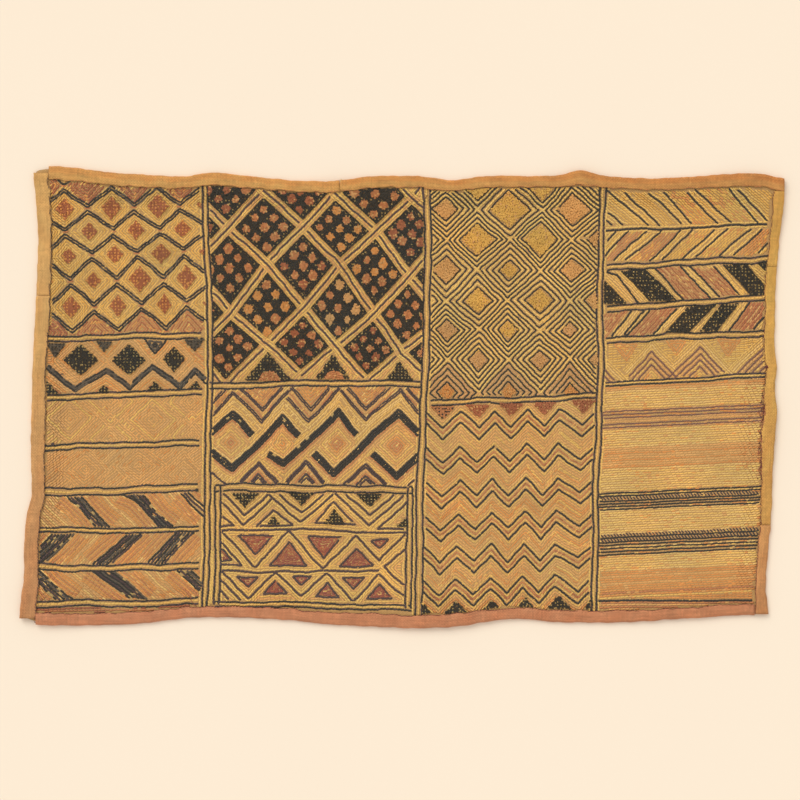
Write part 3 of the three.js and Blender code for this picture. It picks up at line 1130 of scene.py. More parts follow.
@dataclass(frozen=True)
class FirstColumn:
    """The left column: lozenges, a zigzag with black diamonds, two plain fields and slanting bars."""

    lattice: Lattice = Lattice((
        (211, -324, 41.4), (192.5, -346, 42.2), (170, -324, 41.4), (150, -344.7, 42.3), (129, -320, 41),
        (105.5, -341, 42.3), (82.5, -317.7, 41.4), (58.5, -339, 42.3), (38, -316, 41.4)), 4, 0.03, -250)
    blobs: Lines = (
        ((7.2, 8.1), (7.6, 9.2), (8.3, 9.9), (5, 6)), ((5, 6), (5.9, 6.8), (6.1, 7.2), (6.3, 6.8)),
        ((5.4, 5.9), (6.3, 6.8), (7.6, 7.6), (5, 6)), ((5, 6), (5.4, 5.9), (8.8, 9.9), (7.6, 9.9)),
        ((6.8, 9), (5.9, 9), (5, 8.1), (5, 8)))
    zigzag: tuple[Point, ...] = (
        (-319, 27.3), (-292.8, 6.8), (-267, 24.4), (-245.7, 8.1), (-222.8, 28.1), (-200.3, 8.5),
        (-186.8, 23.2), (-175, 12))
    diamonds: Table = (
        (-288.9, 33.3, 14.4, 13.4), (-245.7, 33.3, 14.4, 13.4), (-205.2, 34.2, 9.2, 10.6))
    hung: tuple[tuple[float, float, float, bool], ...] = (
        (-311.4, 35.1, 10.4, True), (-267.7, 39.6, 8.2, True), (-221.6, 38.7, 11.4, False),
        (-186.8, 40.1, 10.6, True))
    standing: Table = (
        (-320, 14.4, 11), (-268, 9.9, 6.2), (-222.5, 12.6, 6.2), (-185, 12.6, 6))
    bars_down: tuple[Bar, ...] = (
        Bar(((-304, -87), (-293.6, -96.3), (-276, -116.5)),
            ((-290.7, -87), (-280.8, -98.6), (-262, -117))),
        Bar(((-253, -87), (-239.7, -94.5), (-219, -116.5)),
            ((-235.1, -86), (-218.8, -105.6), (-205, -116))),
        Bar(((-199, -87), (-188.6, -97.8), (-179.1, -107.1)),
            ((-191.7, -86), (-178.5, -97.8), (-168, -107))))
    bars_up: tuple[Bar, ...] = (
        Bar(((-312.6, -121.5), (-325.4, -134.9), (-338, -146)),
            ((-292, -121.5), (-301.1, -131.1), (-321, -150.5))),
        Bar(((-245.5, -121.5), (-262.2, -136.2), (-278.5, -150.5)),
            ((-231, -121.5), (-244.8, -134.1), (-262, -150.5))),
        Bar(((-202.5, -121.5), (-216, -135.5), (-229.5, -149.5)),
            ((-188, -121.5), (-200, -135.5), (-212.5, -149.5))))
    bars_foot: tuple[Bar, ...] = (
        Bar(((-341, -154), (-326.5, -167.4), (-312, -181)),
            ((-328, -154), (-317.9, -163.8), (-296, -182))),
        Bar(((-281.5, -155), (-264, -167), (-246, -181)), ((-261, -155), (-245, -168), (-229, -181))),
        Bar(((-205, -154), (-191.5, -166), (-179.1, -176.9)),
            ((-191.5, -154), (-179, -165.3), (-166, -176.4))))

    def field_between(self, upper: Rail | None, lower: Rail | None) -> Field:
        """The part of this column between two level rails, or a seam where there is none.

        Args:
            upper: The upper rail.
            lower: The lower rail.

        Returns:
            The field.
        """
        top = upper.far if upper else TOP.seam
        bottom = lower.near if lower else BOTTOM.seam
        return Field(LEFT.seam, RAILS.first.near, top, bottom)

    def sew(self, needle: Needle) -> None:
        """Sews all fields of this column, from the top down.

        Args:
            needle: What takes down the rows.
        """
        rails = (None, *RAILS.one, None)
        fields = [self.field_between(upper, lower) for upper, lower in zip(rails, rails[1:])]
        self.sew_lozenges(needle.enter(fields[0]))
        self.sew_zigzag(needle.enter(fields[1]))
        self.sew_plain(needle, fields[2], fields[3])
        for where, bars in zip(fields[4:7], (self.bars_down, self.bars_up, self.bars_foot)):
            self.sew_bars(needle.enter(where), bars)
        needle.enter(fields[7]).level(1, (BROWN, RUST), 30)

    def sew_lozenges(self, needle: Needle) -> None:
        """Gold lozenges between thick zigzags, red-brown pile amid each and a red spot at each tip.

        Args:
            needle: What takes down the rows.
        """
        last = len(self.lattice.rows) - 2
        for row in range(last + 1):
            needle.band(self.lattice.zigzag(row, 3.9), (BLACK,), 2, first=1.1,
                        fleck=Fleck(SLATE, 0.15), width=1.7)
            for number in range(self.lattice.count + 1):
                x, y = self.lattice.crossing(row, number)
                needle.hatch(diamond(x, y, 3.0, 3.2), 0, (BROWN,), 4, 1.9)
        for row, number, corners in self.lattice.lozenges():
            x, y = corners.mean(axis=0)
            if row in (1, last):
                needle.rings(corners, (RUST, BROWN) * 5, 8, 3.0, fleck=Fleck(ORANGE, 0.15))
                continue
            wide, tall = self.blobs[row - 2][number]
            needle.pile(diamond(x, y, wide + 1.4, tall + 1.4), RUST, ORANGE, 0.2, 0.4)
            gold = (GOLD, OCHRE, GOLD, GOLD, OCHRE, GOLD, PEACH)
            needle.rings(corners, gold, 8, 3.1, 1.95, Fleck(OLIVE, 0.08))
        needle.level(45, (GOLD,))

    def sew_zigzag(self, needle: Needle) -> None:
        """A thick zigzag between black diamonds, hung triangles and small standing ones.

        Args:
            needle: What takes down the rows.
        """
        for x, y, wide, tall in self.diamonds:
            needle.pile(diamond(x, y, wide + 1, tall + 1), share=0.17, edging=0.3)
            around = facing_in(diamond(x, y, wide + 1, tall + 1))
            needle.band(around, (PEACH, TAN, PEACH, ORANGE), 10, True, (-1,), 1.0)
        for x, low, half, filled in self.hung:
            corners = peaked(x, low, half, value_at(RAILS.one[0].far, x) + 0.2)
            if filled:
                needle.pile(corners, SLATE, BLACK, 0.3, 0.38)
            else:
                needle.rings(corners, (BLACK, SLATE, BLACK, PEACH, PEACH), 2, 0.8, 1.8)
        for x, high, half in self.standing:
            low = value_at(RAILS.one[1].near, x) + 0.6
            needle.pile(peaked(x, high + 1.5, half + 1, low), share=0.2, edging=0.3)
        needle.run(self.zigzag, SLATE, 3)
        needle.band(self.zigzag, (BLACK,), 3, first=1.6, fleck=Fleck(SLATE, 0.3))
        grown = (TAN, PEACH, ORANGE, PEACH, BROWN, ORANGE)
        needle.band(self.zigzag, grown, 11, first=3.6)
        needle.level(3, (PEACH, ORANGE, TAN))

    def sew_plain(self, needle: Needle, upper: Field, lower: Field) -> None:
        """Plain golden fields whose rows run in faint nested lozenges and on the slant.

        Args:
            needle: What takes down the rows.
            upper: The field with the lozenges.
            lower: The slanting one.
        """
        mottled = (PEACH, PEACH, GOLD, PEACH, TAN, PEACH, PEACH)
        needle.enter(upper)
        for x, y in ((-299, -19), (-262, -4), (-262, -38), (-224, -20), (-190, -4), (-188, -36)):
            needle.rings(diamond(x, y, 27, 25), mottled * 2, 20, fleck=Fleck(ORANGE, 0.03))
        needle.level(42, (GOLD, PEACH))
        needle.enter(lower)
        odd = Fleck(ORANGE, 0.08)
        for x, y in ((-286, -66), (-236, -62), (-196, -70)):
            needle.rings(diamond(x, y, 25, 22), (PEACH, PEACH, TAN) * 3, 20, fleck=odd)
        needle.level(38, (PEACH, TAN, PEACH), 30, odd)

    def sew_bars(self, needle: Needle, bars: Sequence[Bar]) -> None:
        """Black slanting bars with rows of orange-brown beside them and tan between.

        Args:
            needle: What takes down the rows.
            bars: The black bars in order.
        """
        beside = (ORANGE, BROWN, ORANGE, BROWN, ORANGE, ORANGE, TAN)
        slant = 0.0
        for bar in bars:
            bar.rows(needle, (BLACK, INK, BLACK, SLATE), 2, Fleck(SPECK, 0.04))
            ends = bar.row(0)[[0, -1]]
            slant = math.degrees(math.atan2(ends[0, 1] - ends[1, 1], ends[0, 0] - ends[1, 0]))
            for share, side in ((0.0, -1), (1.0, 1)):
                needle.band(bar.row(share), beside, 10, sides=(side,), first=PITCH)
        needle.level(slant, (STRAW, PEACH, TAN), fleck=Fleck(ORANGE, 0.08))


@dataclass(frozen=True)
class SecondColumn:
    """Crossing bands round squares of pile, a thick key pattern, and a framed field of triangles.

    Columns of crossings: x, y, whether the line that falls to the right passes over. Columns of
    small triangles: tip x, tip y, half base, base y.
    """

    crossings: tuple[tuple[Crossing, ...], ...] = (
        ((-220, 220, True), (-156, 220, True), (-91, 217, True), (-24, 218, True), (40, 218, True)),
        ((-191, 186, True), (-125, 186, True), (-60, 183, True), (9, 180, True)),
        ((-220, 152, False), (-157, 152, False), (-89, 153, False), (-23, 149, False), (40, 148, False)),
        ((-189, 116, True), (-121.5, 119.5, True), (-56, 119, True), (6, 109, False), (68, 112, True)),
        ((-218, 76, False), (-154, 75.5, False), (-88, 80, False), (-25, 75, False), (37, 71, False)),
        ((-188, 42, True), (-121.5, 47.5, True), (-59.5, 45, True), (-1, 40.5, True), (58, 42, True)),
        ((-220, 11, False), (-159, 9, False), (-91, 19, False), (-31.5, 13.5, False), (34, 6, False)))
    tones: tuple[tuple[Dye, ...], ...] = (
        (RUST, RUST, BROWN), (RUST, BROWN, ORANGE, RUST),
        (BROWN, RUST, ORANGE, RUST), (BROWN, ORANGE, TAN, BROWN),
        (BROWN, RUST, RUST, BROWN))
    half_band: float = 4.7
    band_feet: Table = (
        (-120.6, 40.1, 20.7, 15.2), (-62.5, 39.2, 16.3, 15.2), (-2.3, 32.4, 12, 15.5))
    fine_vees: Lines = (
        ((-158.9, 8), (-170, -4)), ((-145, 8), (-126, -12), (-107, 8)),
        ((-99, 8), (-82.8, -10.6), (-66, 8.5)), ((-48, 8), (-31, -10.8), (-11.5, 8)), ((4, 8), (16, -3.5)))
    fine_zigzags: Lines = (
        ((-170, -16.5), (-152.1, 4.5), (-127.1, -22.5), (-98.7, 7.2)),
        ((-102.6, -2.1), (-84.2, -20.5), (-56.2, 8.1)),
        ((-54.9, 5.9), (-31, -20), (-2.3, 5.9), (15.5, -14.7)))
    strokes: Lines = (
        ((-171, -33), (-152.6, -16.2), (-136, -33.8)),
        ((-171, -48), (-153.5, -63.5), (-106, -19.8), (-92.2, -33.8)),
        ((-120, -50.9), (-106.7, -60.8), (-73.8, -29.2), (-57.6, -13.1), (-40.8, -34)),
        ((-79.3, -50.9), (-60.4, -69), (-3.7, -13.7), (15.5, -34)),
        ((-26.7, -50.9), (-5, -71.1), (15.5, -52.7)))
    stars: Table = (
        (-154.2, -41, 10, 9), (-106.7, -41.7, 6, 7), (-59, -42.3, 12, 12.4), (-5, -43.8, 13, 13))
    key_feet: Table = (
        (-128.4, -60.1, 17), (-86.9, -58.9, 17), (-33.3, -60.7, 17.5))
    red: Table = (
        (-131.4, -142.2, 16.2, -124.3), (-69.6, -145.3, 15.9, -125.2), (-19.8, -137.2, 9.3, -127.8),
        (-102.2, -130, 18.3, -151.8), (-41.4, -134.4, 16.3, -153.3), (-138.6, -170.6, 10.9, -161.1),
        (-90.5, -170.1, 10, -160.8), (-44.1, -173.3, 10.7, -162.3), (-114.3, -164.5, 11.7, -177.8),
        (-67.1, -167.4, 11.3, -180.4), (-19.8, -167.8, 12.7, -181.2), (-165, -133, 13, -148))
    dark: Table = (
        (-141.1, -99.4, 13.4, -85.6), (-90.5, -97.6, 12, -86), (-29.3, -99, 12.2, -87),
        (-115.4, -106.4, 5.4, -114.2), (-60.7, -100.4, 9.8, -113.8), (3, -108, 8, -116.4))
    edged: Table = (
        (-114.7, -100.3, 17.1, -116.4), (-60.3, -94.2, 19.5, -115))
    lines: Lines = (
        ((-162, -87.3), (-141.9, -105.8), (-119.4, -87.3)),
        ((-109.8, -87.3), (-91.4, -103.9), (-70.7, -87.3)),
        ((-49, -87.3), (-29.7, -106.2), (-8.1, -88.2)),
        ((-164.1, -94.2), (-142.4, -114.7), (-116.1, -91.4)),
        ((-118.6, -87.3), (-92.2, -113), (-60.3, -88.2)), ((-58.7, -87.3), (-30.2, -114.7), (2.3, -88.2)),
        ((5.2, -94.5), (-22.5, -117.6), (5.2, -119)), ((-164.1, -105), (-151.6, -115.5), (-163.8, -116.1)),
        ((-166, -119.7), (-74, -119.7), (5, -122.2)), ((-166, -156.6), (-19.8, -157.2)),
        ((-162, -121.1), (-131.9, -152.5), (-102.6, -120.6), (-69.9, -154.4), (-41.4, -123.1),
         (-20.2, -148.9), (2.7, -123.9)),
        ((3.2, -137.2), (-15.3, -154.1), (2, -168.6)),
        ((-164.1, -129.6), (-143.6, -152.1), (-164.1, -150.8)),
        ((-162.9, -157.3), (-138.3, -180.9), (-114.3, -157.3), (-90.9, -179.8), (-67.1, -159.3),
         (-44.1, -183.2), (-20.2, -159.7), (1.6, -178.2)),
        ((-164.1, -164.1), (-146, -182.2)), ((-164.1, -174.2), (-156, -181.8)))

    def sew(self, needle: Needle) -> None:
        """Sews all fields of this column, from the top down.

        Args:
            needle: What takes down the rows.
        """
        left, right = RAILS.first.far, RAILS.second.far
        self.sew_bands(needle.enter(Field(left, right, TOP.seam, RAILS.two.near)))
        self.sew_key(needle.enter(Field(left, right, RAILS.two.far, RAILS.frame_top.near)))
        self.sew_triangles(needle.enter(Field(
            RAILS.frame_left.far, RAILS.frame_right.near, RAILS.frame_top.far, RAILS.frame_foot.near)))
        needle.enter(Field(left, right, RAILS.frame_top.near, BOTTOM.seam, 0.2))
        needle.level(90, (GOLD, PEACH), 60)

    def sew_bands(self, needle: Needle) -> None:
        """Bands that pass over and under each other round squares of pile with nine spots each.

        Args:
            needle: What takes down the rows.
        """
        for row in range(1, len(self.crossings) - 1):
            line = self.crossings[row]
            for number in range(len(line) - 1):
                middle = (line[number][0] + line[number + 1][0]) / 2
                above, below = (
                    min(self.crossings[row + away], key=lambda point: abs(point[0] - middle))
                    for away in (-1, 1))
                corners = [point[:2] for point in (above, line[number], below, line[number + 1])]
                tones = self.tones[row - 1]
                self.sew_square(needle, corners, tones[number % len(tones)])
        for upper, lower in zip(self.crossings, self.crossings[1:]):
            for start in upper:
                for end in lower:
                    if abs(end[0] - start[0]) < 52:
                        self.sew_band(needle, start, end)
        for x, high, half, low in self.band_feet:
            spots = [Spot(x + 1.5, low, 9.5, 8.5, BROWN)] if half > 14 else []
            needle.pile(peaked(x, high, half, low), spots=spots, share=0.1 if spots else 0.3, edging=0.4)
        needle.level(48, (GOLD, PEACH))

    def sew_square(self, needle: Needle, corners: Sequence[Point], tone: Dye) -> None:
        """One square of pile with three spots a side, each in its own ninth.

        Args:
            needle: What takes down the rows.
            corners: Its corners in order.
            tone: The spots' dyes.
        """
        square = shifted(facing_in(corners), self.half_band, True)
        middle = square.mean(axis=0)
        first, second = (square[1] - square[0]) / 2, (square[3] - square[0]) / 2
        rng = np.random.default_rng(abs(round(middle[0] * 7 + middle[1])))
        spots = []
        for a in (-1, 0, 1):
            for b in (-1, 0, 1):
                x, y = middle + 0.62 * (a * first + b * second) + rng.normal(0, 0.5, 2)
                dye = tone if rng.random() < 0.75 else BROWN
                reach = rng.uniform(0.8, 1.15)
                wide, tall = 0.14 * reach * np.ptp(square, axis=0) / 2 + 0.2
                spots.append(Spot(x, y, wide, tall, dye))
        needle.pile(square, spots=spots, share=0.03, edging=0.2, crisp=True)

    def sew_band(self, needle: Needle, start: Crossing, end: Crossing) -> None:
        """A dark line between gold rows from one crossing to the next, cut short where it passes under.

        Args:
            needle: What takes down the rows.
            start: The crossing it comes from.
            end: The one it goes to.
        """
        rightward = end[0] > start[0]
        first, last = np.array(start[:2]), np.array(end[:2])
        step = (last - first) / np.linalg.norm(last - first)
        cuts = [0.0 if place[2] == rightward else 5.0 for place in (start, end)]
        line = [first + step * cuts[0], last - step * cuts[1]]
        needle.run(line, INK, 2, width=1.6)
        needle.band(line, (BRIGHT, GOLD), 4, first=1.9, fleck=Fleck(PEACH, 0.3), width=2.0)

    def sew_key(self, needle: Needle) -> None:
        """Orange triangles and fine zigzags over thick strokes that hook round diamonds.

        Args:
            needle: What takes down the rows.
        """
        for line in self.fine_vees:
            needle.band(line, (INK,), 2, first=0.85, width=1.4)
            needle.band(line, (ORANGE,) * 8, 12, sides=(1,), first=2.7, fleck=Fleck(BROWN, 0.35))
            needle.band(line, (PEACH, BROWN, PEACH), 9, sides=(-1,), first=2.7)
        for line in self.fine_zigzags:
            needle.band(line, (INK,), 2.2, first=0.8, width=1.4)
            needle.band(line, (GOLD, STRAW), 13, sides=(-1,), first=2.7)
        for line in self.strokes:
            needle.band(line, (BLACK, BLACK), 2, fleck=Fleck(SPECK, 0.03), width=2.3)
            needle.band(line, (BROWN, PEACH, GOLD), 8, sides=(-1,), first=4.1)
            needle.band(line, (STRAW, GOLD), 8, sides=(1,), first=4.1)
        for x, y, wide, tall in self.stars:
            corners = facing_in(diamond(x, y, wide, tall))
            needle.rings(corners, (PEACH, ORANGE, BROWN, BROWN, BROWN), 5, 1.0)
            needle.band(corners, (GOLD, PEACH, PEACH), 7, True, (-1,), 1.1)
        for x, high, half in self.key_feet:
            legs = [(x - half, high - half - 1), (x, high), (x + half, high - half - 1)]
            needle.band(legs, (INK,), 2.4, first=0.9)
            needle.band(legs, (PEACH, BROWN), 5, sides=(-1,), first=2.9)
            needle.band(legs, (INK, INK), 2, sides=(-1,), first=6.6)
            needle.band(legs, (GOLD, PEACH), 12, sides=(1,), first=2.9)
        for line in (((-171, -67), (-159, -78.5)), ((6, -79), (15.5, -72.5))):
            needle.run(line, INK, 2.4)
        needle.level(42, (GOLD, STRAW))

    def sew_triangles(self, needle: Needle) -> None:
        """Three rows of triangles between zigzag lines: black ones above, red-brown ones below.

        Args:
            needle: What takes down the rows.
        """
        for triangle in self.dark:
            needle.pile(peaked(*triangle), share=0.3, edging=0.34)
        for triangle in self.edged:
            needle.rings(peaked(*triangle), (INK, BRIGHT, GOLD), 2, 0.4)
        for triangle in self.red:
            needle.rings(peaked(*triangle), (INK,), 2, 0.4)
            needle.rings(peaked(*triangle), (BRICK,) * 6, 6, 2.0, 1.6, Fleck(RUST, 0.25), 2.2)
            needle.hatch(peaked(*triangle), 0, (BRICK,), 8, 1.5)
        for line in self.lines:
            needle.run(line, INK, 2)
            needle.band(line, (BRIGHT, GOLD, PEACH), 9, first=PITCH)
        needle.level(0, (GOLD, PEACH))


@dataclass(frozen=True)
class ThirdColumn:
    """Nested lozenges with plain middles above, zigzag pairs below."""

    lattice: Lattice = Lattice((
        (222, 10, 57.7), (195.3, -17, 56.5), (168.3, 8.5, 59), (141.8, -14, 55), (114.3, 10, 57.7),
        (86.4, -15, 55.3), (60.3, 14.5, 54.3), (34.2, -14, 55), (3.6, 12.5, 55.9), (-23, -15, 55)), 4)
    middles: Table = (
        (9, 20, 20, 9), (11, 18.5, 15.5, 14), (14, 15.5, 15.5, 14), (12.6, 9, 11, 9), (9, 12.5, 12, 14),
        (9.8, 9.3, 7.5, 8), (10, 9, 8.7, 10), (8, 8, 7, 7))
    fine_pitch: float = 1.93
    xs: tuple[float, ...] = (22, 37, 53, 69, 84, 98, 113, 128, 142, 162, 178)
    pairs: tuple[float, ...] = (-14, -45, -75.5, -105.5, -134.5, -164)
    swing: float = 15.0
    hung: tuple[Point, ...] = ((36.9, 11.5), (68.4, 11.5), (98.1, 11), (127.8, 11), (162.9, 12))
    standing: Table = (
        (20, 7, 9), (48.5, 11, 11.5), (81, 8, 8), (111.5, 7.5, 9.5), (141, 12, 13), (169, 6, 9))

    def sew(self, needle: Needle) -> None:
        """Sews both fields.

        Args:
            needle: What takes down the rows.
        """
        left, right = RAILS.second.near, RAILS.third.near
        self.sew_lozenges(needle.enter(Field(left, right, TOP.seam, RAILS.three.near)))
        self.sew_zigzags(needle.enter(Field(left, right, RAILS.three.far, BOTTOM.seam)))

    def sew_lozenges(self, needle: Needle) -> None:
        """Gold and black rows by turns, in from the lattice to each lozenge's plain middle of cut pile.

        Args:
            needle: What takes down the rows.
        """
        for row, number, corners in self.lattice.lozenges():
            x, y = corners.mean(axis=0)
            wide, tall = np.ptp(corners[:, 0]) / 2, np.ptp(corners[:, 1]) / 2
            radius = wide * tall / math.hypot(wide, tall)
            plain = radius * self.middles[row - 1][number] / wide
            count = 2 * max(0, round((radius - plain) / self.fine_pitch / 2 - 0.5)) + 1
            pitch = (radius - plain) / (count + 0.4)
            lower = TAN if y > 30 else ORANGE
            inner = OCHRE if 55 < x < 140 and y > 45 else (PEACH if y > 66 else lower)
            gold = BRIGHT if y > 30 else TAN
            needle.rings(corners, (BLACK, None) * (count // 2 + 1), 2, pitch, pitch, width=1.4)
            needle.rings(corners, (gold, None) * (count // 2 + 1), 4, 0, pitch, width=2.2)
            middle = np.array([x, y])
            plain_corners = middle + (corners - middle) * max(0.1, (plain - 0.7) / radius)
            needle.pile(plain_corners, inner, TAN, 0.1, 0.1)
        needle.level(45, (GOLD,))

    def turn(self, base: float, drift: float) -> list[Point]:
        """A zigzag's corners from its leftmost peak, rising slightly to the right.

        Args:
            base: The peaks' height at the left.
            drift: How much they rise.

        Returns:
            The corners in order.
        """
        return [
            (x + drift, base - (self.swing if number % 2 else 0) + 0.028 * (x - 22))
            for number, x in enumerate(self.xs)]

    def sew_zigzags(self, needle: Needle) -> None:
        """Six pairs of black zigzags with red-brown between each pair and gold between pairs.

        Args:
            needle: What takes down the rows.
        """
        for number, base in enumerate(self.pairs):
            drift = -0.9 * number
            upper = np.array(self.turn(base, drift), float)
            lower = upper - np.array([0, 10.2])
            for line in (upper, lower):
                needle.run(line, BLACK, 2, width=1.7)
            needle.run(upper - np.array([0, 5.1]), BROWN, 3, fleck=Fleck(RUST, 0.4))
            warmer = ORANGE if number in (2, 3, 5) else PEACH
            for line, side in ((upper, 1), (lower, -1)):
                needle.band(line, (GOLD, PEACH, warmer, GOLD, PEACH), 9, sides=(side,), first=1.9)
            for line, side in ((upper, -1), (lower, 1)):
                needle.band(line, (GOLD,), 2.5, sides=(side,), first=1.8, fleck=Fleck(PEACH, 0.3))
        for x, half in self.hung:
            high = value_at(RAILS.three.far, x) - 1.0
            dye, speck, edging = (BROWN, BLACK, 0.38) if x < 40 else (RUST, TAN, 0.12)
            needle.pile(peaked(x, high - half * 1.05, half, high), dye, speck, 0.12, edging)
        for x, half, tall in self.standing:
            low = value_at(BOTTOM.seam, x) + 0.4
            needle.pile(peaked(x, low + tall, half, low), share=0.16, edging=0.2)
        needle.level(45, (GOLD, PEACH))


@dataclass(frozen=True)
class FourthColumn:
    """Slanting lines and bars above, orange peaks, then level stripes.

    Columns of lines: x at the upper and at the lower end. Columns of bars: x at the upper left and
    right, x at the lower left and right, whether it is black.
    """

    tilt: float = 0.047
    falling: tuple[Point, ...] = (
        (159, 200), (150, 190), (181, 221), (194, 231), (216, 254), (230, 263.5), (251, 287),
        (261, 299), (291, 322), (299, 333))
    rising: tuple[Point, ...] = (
        (196, 166), (207, 178), (222, 191), (233, 202), (251, 222), (262, 233), (282, 252),
        (293, 262), (313, 282), (324, 293), (342, 312), (352, 322))
    down_bars: tuple[SlantBar, ...] = (
        (130, 161, 173, 206, True), (185, 208.5, 228.5, 254, True), (220, 241.5, 262, 283, False),
        (254, 271, 295.5, 313, False), (283, 306, 323, 340, True), (316, 335, 355, 373, True))
    up_bars: tuple[SlantBar, ...] = (
        (150, 213.7, 130, 183, False), (235.6, 256.9, 198.6, 219, False), (264.5, 289.5, 230, 249.5, True),
        (292.5, 308, 260, 275.5, True), (319.5, 342, 288.7, 303, False))
    peaks: tuple[tuple[float, float, float, int], ...] = (
        (172, 36, 26, 3), (225, 41, 21, 3), (267.3, 46, 28, 4), (336, 56, 42, 5))

    def between(self, top: Line, bottom: Line, margin: float = 1.0) -> Field:
        """The part of this column between two level lines."""
        return Field(RAILS.third.far, RIGHT.seam, top, bottom, margin)

    def rise(self, y: float) -> Line:
        """A line that climbs gently to the right from y at the column's left."""
        return lambda x: y + self.tilt * (x - 182)

    def sew(self, needle: Needle) -> None:
        """Sews all fields of this column, from the top down.

        Args:
            needle: What takes down the rows.
        """
        single = Curve(((185, 149.5), (259, 152.8), (331, 155.7)))
        third, fourth, fifth = (
            self.between(upper.far, lower.near) for upper, lower in zip(RAILS.four, RAILS.four[1:]))
        xs = np.arange(184.0, 334.0, 8.0)
        needle.enter(self.between(TOP.seam, BOTTOM.seam))
        needle.band(np.stack([xs, single(xs)], axis=1), (BLACK, BRIGHT), 1.6)
        needle.enter(self.between(TOP.seam, single, 2.2))
        self.sew_lines(needle, self.falling, (189, 154), {5: OCHRE, 7: OCHRE})
        needle.enter(self.between(single, RAILS.four[0].near, 2.2))
        warm = {1: BROWN, 3: BROWN, 5: OCHRE, 7: OCHRE, 9: ORANGE}
        self.sew_lines(needle, self.rising, (151, 123), warm)
        self.sew_bars(needle.enter(third), self.down_bars, (124, 80), 0.8)
        self.sew_bars(needle.enter(fourth), self.up_bars, (90, 50), 0.0)
        hook = [(178, 118), (184.5, 112.5), (194.4, 108), (203.4, 96.3), (211.5, 84.6)]
        needle.enter(third).run(hook, BLACK, 2)
        needle.enter(fourth).run([(225.9, 90), (194.3, 50)], BLACK, 2)
        self.sew_peaks(needle.enter(fifth))
        self.sew_stripes(needle.enter(self.between(RAILS.four[3].far, BOTTOM.seam)))

    def sew_lines(self, needle: Needle, lines: Sequence[Point], span: Point,
                  filled: dict[int, Dye]) -> None:
        """Slanting black lines with gold between, or another dye after the numbered ones.

        Args:
            needle: What takes down the rows.
            lines: Each line's x at its upper and at its lower end.
            span: The y of their upper and their lower ends.
            filled: The dyes of the strips that follow the numbered lines.
        """
        slant = math.degrees(math.atan2(span[0] - span[1], lines[0][0] - lines[0][1]))
        for number, (high_x, low_x) in enumerate(lines):
            ends = [(high_x, span[0]), (low_x, span[1])]
            needle.run(ends, BLACK, 2, width=1.6)
            needle.band(ends, (BRIGHT,), 5, first=1.9)
            if number in filled and number + 1 < len(lines):
                beyond = lines[number + 1]
                corners = [(high_x + 2, span[0]), (beyond[0] - 2, span[0]),
                           (beyond[1] - 2, span[1]), (low_x + 2, span[1])]
                needle.hatch(corners, slant, (filled[number],), 4, fleck=Fleck(ORANGE, 0.2))
        needle.level(slant, (OCHRE, OCHRE, GOLD))

    def sew_bars(self, needle: Needle, bars: Sequence[SlantBar], span: Point, bend: float) -> None:
        """Slanting bars, of black pile or of red-brown rows between black lines, on gold.

        Args:
            needle: What takes down the rows.
            bars: The bars.
            span: The y of their upper and their lower ends.
            bend: How far up and to the right the bars' middles bow out.
        """
        middle = (span[0] + span[1]) / 2 + bend
        slant = math.degrees(math.atan2(span[0] - span[1], bars[0][0] - bars[0][2]))
        for high_left, high_right, low_left, low_right, black in bars:
            edges = [
                ((high, span[0]), ((high + low) / 2 + bend, middle), (low, span[1]))
                for high, low in ((high_left, low_left), (high_right, low_right))]
            bar = Bar(*edges)
            if black:
                bar.pile(needle, 0.34)
            else:
                bar.rows(needle, (BROWN, RUST), 3, Fleck(TAN, 0.12))
                for share, side in ((0.0, -1), (1.0, 1)):
                    needle.band(bar.row(share), (BLACK,), 2, sides=(side,), first=1.2, width=1.7)
            for share, side in ((0.0, -1), (1.0, 1)):
                needle.band(bar.row(share), (BRIGHT, STRAW, GOLD), 9, sides=(side,), first=3.2)
        needle.level(slant, (GOLD, BRIGHT))

    def sew_peaks(self, needle: Needle) -> None:
        """Soft peaks of fine purple-brown lines, orange beneath and between.

        Args:
            needle: What takes down the rows.
        """
        for x, high, half, count in self.peaks:
            foot = high - half * 1.06
            legs = [(x - half, foot), (x, high), (x + half, foot)]
            needle.band(legs, (PLUM, None) * count, 3, sides=(-1,), width=1.3)
            needle.band(legs, (None, PEACH) * count + (ORANGE, PEACH) * 4, 6,
                        sides=(-1,), fleck=Fleck(GOLD, 0.2), width=2.3)
            needle.band(legs, (GOLD, STRAW, GOLD, GOLD), 12, sides=(1,), first=PITCH)
        for x, half, low in ((200.7, 10, 31), (247, 8, 36), (294.5, 10.5, 35)):
            high = value_at(RAILS.four[2].far, x) - 1
            needle.rings(peaked(x, low, half + 2, high), (ORANGE,) * 5, 8, 1)
        needle.level(3, (GOLD, OCHRE))

